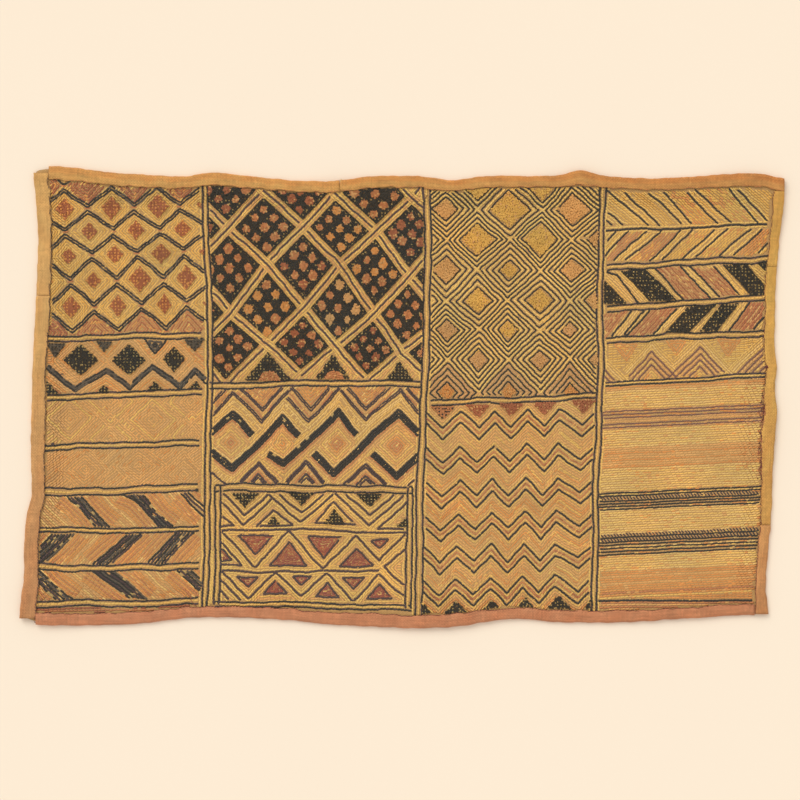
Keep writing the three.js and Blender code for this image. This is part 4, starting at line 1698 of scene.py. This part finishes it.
    def sew_stripes(self, needle: Needle) -> None:
        """Level rows: gold, orange and purple-brown stripes, and two bands of black rows.

        Args:
            needle: What takes down the rows.
        """
        black_rows = (-87, -89.6, -94.2, -96.6, -99, -101.6, -127, -131, -133.6, -136.6, -139.6, -142.4)
        plum_rows = (-13.6, -16.4, -19.3, -25.0, -27.9)
        for rows, dye, width in ((black_rows, BLACK, 1.55), (plum_rows, PLUM, 1.2)):
            for number, y in enumerate(rows):
                xs = np.arange(172.0 + 1.7 * (number % 3), 346.0, 5.6)
                needle.run(np.stack([xs, self.rise(y)(xs)], axis=1), dye, 2, width=width)
        for base in (-91.9, -124.8, -129.2):
            starts = np.arange(176.0, 340.0, 2.9)
            lows = self.rise(base - 1.1)(starts)
            pieces = np.stack([starts + 1.8, lows, starts, lows + 2.4], axis=1)
            needle.note(pieces, INK, 2.5, None, 1.2)
        foot = np.arange(174.0, 346.0, 6.0)
        needle.run(np.stack([foot, -183.0 + 0.0 * foot], axis=1), BLACK, 1)
        pale = (STRAW, BRIGHT)
        stripes = (
            (4, (ORANGE, PEACH)), (-12.4, pale), (-29.5, (TAN, PEACH)), (-46, pale),
            (-62.5, (PEACH, ORANGE, PEACH)), (-65, (ORANGE,)), (-157, pale),
            (-174, (ORANGE, PEACH, ORANGE)), (-178.8, (BROWN, ORANGE)), (-183, (GOLD,)),
            (-230, (BROWN, PEACH)))
        for step in range(105):
            y = 12.0 - step * PITCH
            dyes = next(kinds for low, kinds in stripes if y > low)
            xs = np.arange(166.0 + 7.4 * (step * 0.618 % 1), 348.0, 7.4)
            line = np.stack([xs, self.rise(y)(xs) if y > -182 else y + 0 * xs], axis=1)
            needle.run(line, dyes[step % len(dyes)], 30, fleck=Fleck(PEACH, 0.05))
        needle.level(0, (ORANGE,))


def turned(x: Array, y: Array, turn: Array, along: Array, across: Array) -> tuple[Array, Array]:
    """Corners given along and across each solid's own direction, as places on the cloth."""
    cosine, sine = np.cos(turn)[:, None], np.sin(turn)[:, None]
    return x[:, None] + along * cosine - across * sine, y[:, None] + along * sine + across * cosine


@dataclass(frozen=True)
class Stitching:
    """Turns laid stitches and tufts into meshes, one piece for each column."""

    height: float = 0.36
    sunk: float = 0.12
    proud: float = 0.18
    rim: Point = (12, 22)
    rim_proud: float = 0.13
    tuft_height: float = 1.25
    gain: float = 1.2
    tuft_gain: float = 1.08
    finish: DyedRaffia = DyedRaffia("dyed_raffia")
    pile_finish: DyedRaffia = DyedRaffia("cut_pile", roughness=0.8, sheen=0.06, fibre=0.25)

    def column(self, x: Array, y: Array) -> Whole:
        """Which of the four columns each place is in."""
        middles = [rail.near(y) + rail.gap / 2 for rail in (RAILS.first, RAILS.second, RAILS.third)]
        return sum((x > middle).astype(int) for middle in middles)

    def colours(self, x: Array, y: Array, dye: Array, tone: Array) -> Array:
        """Each stitch's dye, with patches where the cloth is more or less faded.

        Args:
            x: Places across the cloth.
            y: Places along its short side.
            dye: Each stitch's dye number.
            tone: How light each one is.

        Returns:
            One colour for each stitch.
        """
        table = np.array([linear(one.value) for one in DYES])
        patch = 1 + 0.05 * waves(x, y, 46, 21) + 0.03 * waves(x, y, 17, 22)
        warm = 0.045 * waves(x, y, 60, 23)
        base = table[dye.astype(int)] * (tone * patch)[:, None]
        return base * np.stack([1 + warm, np.ones(len(x)), 1 - warm], axis=1)

    def on_face(self, stitches: Array) -> Array:
        """Height of each stitch's foot: just in the ground cloth, dark rows and the rim a little proud.

        Args:
            stitches: One row for each stitch.

        Returns:
            One height for each stitch.
        """
        x, y = stitches[:, 0], stitches[:, 1]
        dark = np.isin(stitches[:, 5], [DYES.index(dye) for dye in DARK])
        rim = 1 - smooth(LIE.inside(x, y), *self.rim)
        return LIE.face(x, y) - self.sunk + self.proud * dark + self.rim_proud * rim

    def strewn(self, name: str, places: Sequence[Array], sides: Sequence[tuple[int, ...]], shade: Array,
               strand: Sequence[Array], smooth_faces: bool) -> Thing:
        """Makes one piece of many small solids with eight corners each.

        Args:
            name: The piece's name.
            places: The corners' x, y and z, one row for each solid.
            sides: Each face's corners in one solid.
            shade: The corners' colours.
            strand: The corners' places along and across their strand.
            smooth_faces: Whether the solids are shaded smooth.

        Returns:
            The piece.
        """
        points = np.stack(places, axis=2)
        number = np.arange(len(points))[:, None]
        faces = (number[:, :, None] * 8 + np.array(sides)).reshape(-1, len(sides[0]))
        piece = upright_mesh(name, points.reshape(-1, 3), faces, smooth_faces)
        strands = np.stack([*strand, np.broadcast_to(number, points.shape[:2])], axis=2)
        paint(piece, shade.reshape(-1, 3), strands.reshape(-1, 3))
        return piece

    def lens(self, stitches: Array, foot: Array, name: str) -> Thing:
        """Stitches as long low lenses: two tips and two rings of three, pointed at both ends, with painted
        shade: their sides and tips are painted darker than their ridge.

        Args:
            stitches: Rows of x, y, turn, length, width, dye, tone.
            foot: The height of each stitch's underside.
            name: The piece's name.

        Returns:
            The piece.
        """
        x, y, turn, length, width, dye, tone = stitches.T
        along = np.array([-0.62, -0.41, -0.36, -0.41, 0.41, 0.36, 0.41, 0.62]) * length[:, None]
        across = np.array([0.0, 0.52, 0.0, -0.52, 0.52, 0.0, -0.52, 0.0]) * width[:, None]
        up = np.array([0.3, 0.0, 1.0, 0.0, 0.0, 1.0, 0.0, 0.3])
        # painted shade: the ridge is painted lighter than the sides and tips, as if it caught the light
        # from above
        light = self.gain * np.array([0.93, 0.93, 1.02, 0.93, 0.93, 1.02, 0.93, 0.93])
        high = self.height * np.random.default_rng(5).uniform(0.82, 1.14, len(x))[:, None]
        shade = self.colours(x, y, dye, tone)[:, None, :] * light[:, None]
        triangles = (
            (0, 2, 1), (0, 3, 2), (0, 1, 3), (7, 4, 5), (7, 5, 6), (7, 6, 4), (1, 2, 5), (1, 5, 4),
            (2, 3, 6), (2, 6, 5), (3, 1, 4), (3, 4, 6))
        places = (*turned(x, y, turn, along, across), foot[:, None] + up * high)
        return self.strewn(name, places, triangles, shade, (along, across), True)

    def tufts(self, tufts: Array, name: str) -> Thing:
        """Cut ends as little leaning posts, wider at the top, with painted shade: each tuft's foot is
        painted darker than its top.

        Args:
            tufts: Rows of x, y, dye.
            name: The piece's name.

        Returns:
            The piece.
        """
        x, y, dye = tufts.T
        rng = np.random.default_rng(6)
        top = np.array([0, 0, 0, 0, 1, 1, 1, 1])
        turn = rng.uniform(0, math.pi, len(x))
        slim = np.where(dye == DYES.index(SPECK), 0.66, 1.0)[:, None]
        wide = (1.2 + 0.4 * top) * slim * rng.uniform(0.85, 1.15, len(x))[:, None]
        tall = (1.0 + 0.35 * top) * slim * rng.uniform(0.85, 1.15, len(x))[:, None]
        lean = rng.normal(0, 0.15, (2, len(x), 1)) * top
        room = smooth(LIE.inside(x, y), 0.5, 3)
        high = (self.tuft_height * rng.uniform(0.72, 1.25, len(x)) * (0.6 + 0.4 * room))[:, None]
        crown = rng.uniform(-0.16, 0.16, (len(x), 8)) * top
        along = np.array([-1, 1, 1, -1, -1, 1, 1, -1]) * 0.5 * wide
        across = np.array([-1, -1, 1, 1, -1, -1, 1, 1]) * 0.5 * tall
        dark = np.isin(dye, [DYES.index(one) for one in (*DARK, SPECK)])
        tone = 1 + rng.normal(0, 1, len(x)) * np.where(dark, 0.12, 0.05)
        # painted shade: how much darker each tuft's foot is painted than its top, more for dark dyes
        foot_painted_shade = np.where(dark, 0.5, 0.2)[:, None]
        light = self.tuft_gain * (1 - foot_painted_shade + foot_painted_shade * top)
        shade = self.colours(x, y, dye, tone)[:, None, :] * light[:, :, None]
        corner_x, corner_y = turned(x, y, turn, along, across)
        foot = (LIE.face(x, y) - 0.1)[:, None]
        places = (corner_x + lean[0], corner_y + lean[1], foot + top * high + crown)
        squares = ((3, 2, 1, 0), (4, 5, 6, 7), (0, 1, 5, 4), (1, 2, 6, 5), (2, 3, 7, 6), (3, 0, 4, 7))
        return self.strewn(name, places, squares, shade, (along, across), False)

    def build(self, needle: Needle) -> list[Thing]:
        """Makes and dresses the pieces of all four columns.

        Args:
            needle: What takes down the rows.

        Returns:
            The pieces in order.
        """
        stitches, tufts = needle.sew()
        made = []
        finish, pile_finish = self.finish.make(), self.pile_finish.make()
        for number in range(4):
            mine = stitches[self.column(stitches[:, 0], stitches[:, 1]) == number]
            sewn = self.lens(mine, self.on_face(mine), f"stitches_{number + 1}")
            sewn.data.materials.append(finish)
            made.append(sewn)
            chosen = tufts[self.column(tufts[:, 0], tufts[:, 1]) == number]
            if len(chosen):
                cut = self.tufts(chosen, f"pile_{number + 1}")
                cut.data.materials.append(pile_finish)
                made.append(cut)
        LOG.info("%d stitches and %d tufts", len(stitches), len(tufts))
        return made


@dataclass(frozen=True)
class GroundCloth:
    """The woven panel that carries the stitching, thin, with its edges inside the bindings."""

    reach: Point = (684, 410)
    step: float = 2.8
    inset: float = 2.4
    tone: Tone = (188, 144, 86)
    back_tone: Tone = (186, 146, 92)
    finish: PlainWeave = PlainWeave("ground_weave", 1.1, 0.16, 0.25)

    def build(self) -> Thing:
        """One closed sheet: a grid between the four edges for the face, and one below for the back.

        Returns:
            The piece.
        """
        columns, rows = (round(reach / self.step) + 1 for reach in self.reach)
        share_x, share_y = np.meshgrid(np.linspace(0, 1, columns), np.linspace(0, 1, rows))
        x, y = -330 + 660 * share_x, -195 + 390 * share_y
        for _ in range(3):
            left, right = LEFT.outer(y) + self.inset, RIGHT.outer(y) - self.inset
            bottom, top = BOTTOM.outer(x) + self.inset, TOP.outer(x) - self.inset
            x, y = left + (right - left) * share_x, bottom + (top - bottom) * share_y
        low = LIE.underside(x, y)
        count = x.size
        points = np.concatenate([
            np.stack([x, y, high], axis=2).reshape(-1, 3) for high in (low + LIE.ground, low)])
        number = np.arange(count).reshape(rows, columns)
        quads = np.stack(
            [number[:-1, :-1], number[:-1, 1:], number[1:, 1:], number[1:, :-1]], axis=2).reshape(-1, 4)
        rim = np.concatenate([number[0, :-1], number[:-1, -1], number[-1, :0:-1], number[:0:-1, 0]])
        after = np.roll(rim, -1)
        walls = np.stack([rim, rim + count, after + count, after], axis=1)
        faces = np.concatenate([quads, quads[:, ::-1] + count, walls])
        piece = upright_mesh("ground_cloth", points, faces, True)
        shade = np.repeat([linear(self.tone), linear(self.back_tone)], count, axis=0)
        paint(piece, shade, points * np.array([1, 1, 0]))
        piece.data.materials.append(self.finish.make())
        return piece


@dataclass(frozen=True)
class BindingStrip:
    """A raffia strip folded over the cloth's edge, from one place along that edge to another."""

    node: str
    slot: str
    edge: Edge
    start: float
    end: float
    upright: bool
    first_tone: Tone
    last_tone: Tone
    worn_fold: float
    seed: int

    thickness: float = 0.9
    top_height: float = 3.62
    back_share: float = 0.9
    crown: float = 0.28
    puff: float = 0.22
    step: float = 2.4

    def section(self, band: Array) -> tuple[Array, Array, Array, Array]:
        """The fold's middle line: top leg, half circle, back leg.

        Args:
            band: How wide the strip is at each place along it.

        Returns:
            Distance from the edge, height, and the two parts of the outward normal.
        """
        low = self.thickness / 2
        radius = (self.top_height - low) / 2
        leg = np.linspace(1, 0, 11)[:-1]
        arc = np.linspace(0, math.pi, 8)
        back = np.linspace(0, 1, 6)[1:]
        width = band[:, None]
        ones = np.ones((len(band), 1))
        away = np.concatenate([
            radius + (width - radius) * leg, ones * (radius - radius * np.sin(arc)),
            radius + (width * self.back_share - radius) * back], axis=1)
        high = np.concatenate([
            ones * (self.top_height + self.crown * np.sin(math.pi * leg)),
            ones * (low + radius + radius * np.cos(arc)), ones * low * np.ones(len(back))], axis=1)
        out = np.concatenate([0 * leg, -np.sin(arc), 0 * back])
        rise = np.concatenate([0 * leg + 1, np.cos(arc), 0 * back - 1])
        return away, high, ones * out, ones * rise

    def uneven(self, along: Array, length: float, number: int) -> Array:
        """Smooth unevenness along the strip, with its own seed for each number."""
        return waves(along, 0 * along, length, self.seed + number)

    def fold(self, along: Array) -> Array:
        """Where the folded edge runs, uneven as hand sewing leaves it."""
        return self.edge.outer(along) + 0.25 * self.uneven(along, 13, 0) + 0.12 * self.uneven(along, 6, 6)

    def width(self, along: Array) -> Array:
        """How wide the strip lies on the sewn face."""
        return self.edge.band(along) + 0.45 * self.uneven(along, 16, 2) + 0.25 * self.uneven(along, 9, 1)

    def build(self) -> Thing:
        """The fold carried along the edge and closed at both ends.

        Returns:
            The piece.
        """
        along = np.linspace(self.start, self.end, max(3, round((self.end - self.start) / self.step)))
        band, edge = self.width(along), self.fold(along)
        ripple = self.uneven(along, 9, 1)
        away, high, out, rise = self.section(band)
        share = np.clip(away / band[:, None], 0, 1)
        top_side = (rise > 0.5) * smooth(share, 0.12, 0.5)
        puff = ripple[:, None] * np.sin(math.pi * share) * self.puff
        high = high + top_side * (puff - self.puff * smooth(share, 0.75, 1.0))
        half = self.thickness / 2
        rings = []
        for side in (half, -half):
            distance = away + out * side
            place = edge[:, None] + self.edge.inward * distance
            run = np.broadcast_to(along[:, None], place.shape)
            x, y = (place, run) if self.upright else (run, place)
            rings.append(np.stack([x, y, high + rise * side + LIE.lift(x, y)], axis=2))
        width = away.shape[1]
        points = np.concatenate([rings[0], rings[1][:, ::-1]], axis=1).reshape(-1, 3)
        ring = 2 * width
        number = np.arange(len(along) * ring).reshape(len(along), ring)
        after = np.roll(number, -1, axis=1)
        sides = np.stack([number[:-1], after[:-1], after[1:], number[1:]], axis=2).reshape(-1, 4)
        first = np.arange(width - 1)
        cap = np.stack([first, first + 1, ring - 2 - first, ring - 1 - first], axis=1)
        faces = np.concatenate([sides, cap[:, ::-1], cap + number[-1, 0]])
        piece = upright_mesh(self.node.replace("binding", "strip"), points, faces, True)
        travelled = np.concatenate([away, away[:, ::-1]], axis=1)
        runs = np.broadcast_to(along[:, None], travelled.shape)
        way = smooth(runs, self.start, self.end).reshape(-1, 1)
        tone = linear(self.first_tone) * (1 - way) + linear(self.last_tone) * way
        blotch = 1 + 0.05 * waves(runs, travelled * 3, 34, self.seed + 3)
        blotch = blotch + 0.04 * waves(runs, travelled * 2, 9, self.seed + 4)
        redder = 0.03 * waves(runs, travelled * 2, 24, self.seed + 5)
        redder = redder + self.worn_fold * (1 - smooth(travelled / band[:, None], 0.35, 0.6))
        redder = redder.reshape(-1, 1)
        shade = tone * blotch.reshape(-1, 1) * (1 - redder * np.array([0, 1, 1.6]))
        strands = np.stack([runs, travelled, np.full(runs.shape, self.seed)], axis=2).reshape(-1, 3)
        paint(piece, shade, strands)
        return piece

    def declare(self, piece: Thing) -> None:
        """Hangs the strip under the root and hides the part that it replaces.

        Args:
            piece: The strip's mesh.
        """
        at_places = np.linspace(self.start, self.end, 60)
        width = float(self.edge.band(at_places).mean()) * (1 + self.back_share) + 1.8
        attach(piece, "root")
        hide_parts(self.node)


@dataclass(frozen=True)
class SewingThread:
    """The thread that sews the strips down, and the mends, knots and frayed ends of an old cloth.

    Columns of loose: x, y, degrees, length, dye. Columns of knots: x, y, dye. Columns of dotted
    lines: x, y at the first and the last stitch, how many.
    """

    strip_top: float = 3.8
    width: float = 0.75
    length: float = 2.6
    spacing: float = 2.8
    frayed: Point = (-76, 4)
    loose: tuple[tuple[float, float, float, float, Dye], ...] = (
        (-190, -180.6, 100, 4.4, RUST), (-188.6, -184.4, 118, 4.4, RUST), (-186.2, -187.2, 148, 3.6, RUST),
        (-56.4, 189, 98, 5, STRAW), (-55, 193.4, 78, 4.4, STRAW), (-54, 188.2, 104, 4.6, INK),
        (333.8, 117.6, 8, 3, STRAW), (330.6, 117, -4, 3, INK), (-324.4, 91.3, 2, 4, BROWN),
        (-319.4, 90.7, -8, 4, BROWN), (326.6, -115.2, 4, 4, RUST), (325.2, -40, 84, 5.4, STRAW),
        (324, -46.5, 98, 5, STRAW), (318.6, 194.4, 118, 5.2, INK), (320.8, 190.4, 124, 4.6, BROWN),
        (-306, 20.4, 20, 3.4, INK), (22, 180, 60, 3, MAROON))
    knots: tuple[tuple[float, float, Dye], ...] = (
        (-184.5, -83.7, BLACK), (-314, -42.3, INK), (-188, -122, BLACK), (327.6, 27, MAROON))
    dotted: tuple[tuple[float, float, float, float, int], ...] = (
        (-339.5, -176.6, -330.5, -179, 6), (-329.2, -181, -329.6, -202, 9), (149, 191.4, 184, 190, 16),
        (-340.6, -193, -331, -195.2, 5))

    def foot(self, x: Array, y: Array) -> Array:
        """Height of what lies uppermost: the strips at the rim, the stitching inside."""
        return np.where(LIE.inside(x, y) < 0.4, self.strip_top + LIE.lift(x, y), LIE.face(x, y) + 0.22)

    def rows(self, *facts: Array | Sequence[float] | float) -> Array:
        """Thread stitches as rows of x, y, turn, length, width, dye, tone, foot.

        Args:
            facts: The stitches' x, y, turn, length and dye, each one number or one for each stitch.

        Returns:
            The rows.
        """
        x, y, turn, length, dye = np.broadcast_arrays(*facts)
        width, tone = np.full(x.shape, self.width), np.ones(x.shape)
        return np.stack([x, y, turn, length, width, dye, tone, self.foot(x, y)], axis=1)

    def seams(self, strips: Sequence[BindingStrip]) -> Array:
        """Stitches along each strip's free edge, dark on the left, red on the right and the foot.

        Args:
            strips: The strips.

        Returns:
            One row for each stitch.
        """
        found = []
        for strip in strips:
            at = np.arange(strip.start + 1.5, strip.end - 1.5, self.spacing)
            rng = np.random.default_rng(strip.seed)
            reach = strip.width(at) - 0.3
            near = strip.fold(at) + strip.edge.inward * reach + rng.normal(0, 0.12, at.size)
            x, y = (near, at) if strip.upright else (at, near)
            turn = (math.pi / 2 if strip.upright else 0.0) + rng.normal(0.1, 0.12, at.size)
            dye = {LEFT: INK, TOP: BROWN, RIGHT: MAROON, BOTTOM: MAROON}[strip.edge]
            rows = self.rows(x, y, turn, self.length, DYES.index(dye))
            rows[:, 7] = strip.top_height + 0.14 + LIE.lift(x, y)
            found.append(rows[rng.random(at.size) < (0.6 if strip.edge is TOP else 0.94)])
        return np.concatenate(found)

    def ends(self) -> Array:
        """Loose ends, knots of crossing stitches, dotted lines and the frayed part of the right seam.

        Returns:
            One row for each stitch.
        """
        x, y, degrees, length, dyes = zip(*self.loose)
        found = [self.rows(x, y, np.radians(degrees), length, [DYES.index(dye) for dye in dyes])]
        turns = np.arange(5) * 0.66
        for knot_x, knot_y, dye in self.knots:
            rows = self.rows(knot_x, knot_y, turns, self.length, DYES.index(dye))
            rows[:, 4] = 1.3
            rows[:, 7] += 0.16 * np.arange(5)
            found.append(rows)
        for first_x, first_y, last_x, last_y, count in self.dotted:
            slant = math.atan2(last_y - first_y, last_x - first_x) + 0.5
            x, y = np.linspace(first_x, last_x, count), np.linspace(first_y, last_y, count)
            found.append(self.rows(x, y, slant, 1.3, DYES.index(MAROON)))
        rng = np.random.default_rng(77)
        y = np.concatenate([rng.uniform(*self.frayed, 84), rng.normal(-14, 5, 26)])
        x = RIGHT.seam(y) + rng.normal(0.2, 1.5, y.size)
        kinds = np.array([DYES.index(one) for one in (MAROON, MAROON, RUST, BROWN)])
        turn, length = math.pi / 2 + rng.normal(0, 0.55, y.size), rng.uniform(1.8, 4.4, y.size)
        found.append(self.rows(x, y, turn, length, rng.choice(kinds, y.size)))
        return np.concatenate(found)


@dataclass(frozen=True)
class Bindings:
    """All eight folded strips and the thread that sews them down."""

    join: float = 0.15
    clearance: float = 0.3
    left_join: float = 91
    top_join: float = -56
    right_joins: tuple[float, float] = (-115, 117)

    def strips(self) -> list[BindingStrip]:
        """The strips in the order in which they are sewn on.

        Returns:
            The strips in order.
        """
        left_top, left_foot = value_at(TOP.outer, -331), value_at(BOTTOM.outer, -343)
        inner_left = value_at(LEFT.seam, 197) + self.clearance
        foot_left = value_at(LEFT.seam, -200) + self.clearance
        foot_right = value_at(RIGHT.seam, -195) - self.clearance
        right_top = value_at(TOP.seam, 338) - self.clearance
        right_foot = value_at(BOTTOM.outer, 329)
        golden, brown = "golden_binding", "brown_binding"
        low, high = self.right_joins
        rows = (
            ("left_lower", brown, LEFT, left_foot, self.left_join, (190, 131, 82), (208, 158, 92), 0.0),
            ("left_upper", golden, LEFT, self.left_join, left_top, (208, 158, 92), (208, 158, 90), 0.0),
            ("top_left", brown, TOP, inner_left, self.top_join, (206, 152, 82), (205, 150, 80), 0.12),
            ("top_right", brown, TOP, self.top_join, 343.6, (202, 147, 78), (194, 134, 70), 0.14),
            ("right_lower", brown, RIGHT, right_foot, low, (192, 130, 78), (202, 142, 82), 0.0),
            ("right_middle", golden, RIGHT, low, high, (203, 148, 74), (208, 157, 73), 0.0),
            ("right_upper", golden, RIGHT, high, right_top, (208, 156, 74), (200, 147, 68), 0.0),
            ("bottom", brown, BOTTOM, foot_left, foot_right, (194, 126, 86), (192, 124, 82), 0.0))
        return [
            BindingStrip("binding_" + node, slot, edge, start + self.join, end - self.join,
                         edge in (LEFT, RIGHT), first, last, worn, 40 + 7 * number)
            for number, (node, slot, edge, start, end, first, last, worn) in enumerate(rows)]

    def threads(self, stitching: Stitching) -> Thing:
        """Makes and dresses the sewing thread and the loose ends.

        Args:
            stitching: What makes the stitches' meshes.

        Returns:
            The piece.
        """
        rows = np.concatenate([SewingThread().seams(self.strips()), SewingThread().ends()])
        piece = stitching.lens(rows[:, :7], rows[:, 7], "sewing_threads")
        piece.data.materials.append(DyedRaffia("sewing_thread", roughness=0.7).make())
        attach(piece, "root")
        LOG.info("%d thread stitches", len(rows))
        return piece

    def build(self) -> None:
        """Makes and dresses the strips."""
        material = PlainWeave("binding_weave", 1.25, 0.34, 0.3).make()
        for strip in self.strips():
            piece = strip.build()
            piece.data.materials.append(material)
            strip.declare(piece)
            LOG.info("%s from %.1f to %.1f", piece.name, strip.start, strip.end)


@dataclass(frozen=True)
class Studio:
    """A cream table top, soft light and a camera straight above."""

    distance: float = 2000.0
    lens: float = 100.0
    aim: Point = (-1.8, -2.7)
    table_half: float = 6.0
    table_tone: Tone = (254, 236, 212)
    sky: float = 0.74
    sun: float = 1.27
    sun_width: float = 38.0
    sun_turn: tuple[float, float, float] = (-38.0, -34.0, 0.0)

    def build(self) -> None:
        """Lays the table and sets the lights and the camera."""
        corners = np.array([(-1, -1, 0), (1, -1, 0), (1, 1, 0), (-1, 1, 0)]) * self.table_half
        mesh = bpy.data.meshes.new("floor")
        mesh.from_pydata(corners.tolist(), [], [(0, 1, 2, 3)])
        floor = linked("floor", mesh)
        shader = Shader("table_top")
        grain = shader.noise(shader.attribute("position", "Vector"), 3.0, 2.0)
        level = linear(self.table_tone)
        light, dark = (*np.minimum(level * 1.01, 1), 1), (*(level * 0.985), 1)
        inputs = {"A": dark, "B": light, "Factor": grain}
        mix = shader.add("ShaderNodeMix", inputs, data_type="RGBA")
        shader.dress(mix.outputs["Result"], 0.9, 0.1, 0.0)
        mesh.materials.append(shader.material)
        self.light()
        camera = linked("camera", bpy.data.cameras.new("camera"))
        camera.data.lens = self.lens
        camera.data.sensor_width = 36.0
        camera.data.clip_end = 50.0
        camera.location = (self.aim[0] * MM, self.aim[1] * MM, self.distance * MM)
        bpy.context.scene.camera = camera

    def light(self) -> None:
        """An even sky and one broad soft lamp from the far left."""
        world = bpy.data.worlds.new("sky")
        bpy.context.scene.world = world
        world.use_nodes = True
        background = world.node_tree.nodes["Background"]
        background.inputs[0].default_value = (1, 1, 1, 1)
        background.inputs[1].default_value = self.sky
        lamp = bpy.data.lights.new("softbox", "SUN")
        lamp.energy = self.sun
        lamp.angle = math.radians(self.sun_width)
        softbox = linked("softbox", lamp)
        softbox.rotation_euler = [math.radians(turn) for turn in self.sun_turn]
        bpy.context.scene.view_settings.view_transform = "Standard"


def main() -> None:
    """Builds the studio, the cloth and its bindings in order."""
    logging.basicConfig(level=logging.INFO, format="%(message)s")
    Studio().build()
    LOG.info("studio ready")
    needle = Needle()
    RAILS.sew(needle)
    for column in (FirstColumn(), SecondColumn(), ThirdColumn(), FourthColumn()):
        column.sew(needle)
    stitching = Stitching()
    sewn = stitching.build(needle)
    ground = GroundCloth().build()
    bindings = Bindings()
    bindings.build()
    threads = bindings.threads(stitching)
    for piece in (ground, *sewn):
        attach(piece, "root")
    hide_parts("embroidered_panel")


if __name__ == "__main__":
    main()
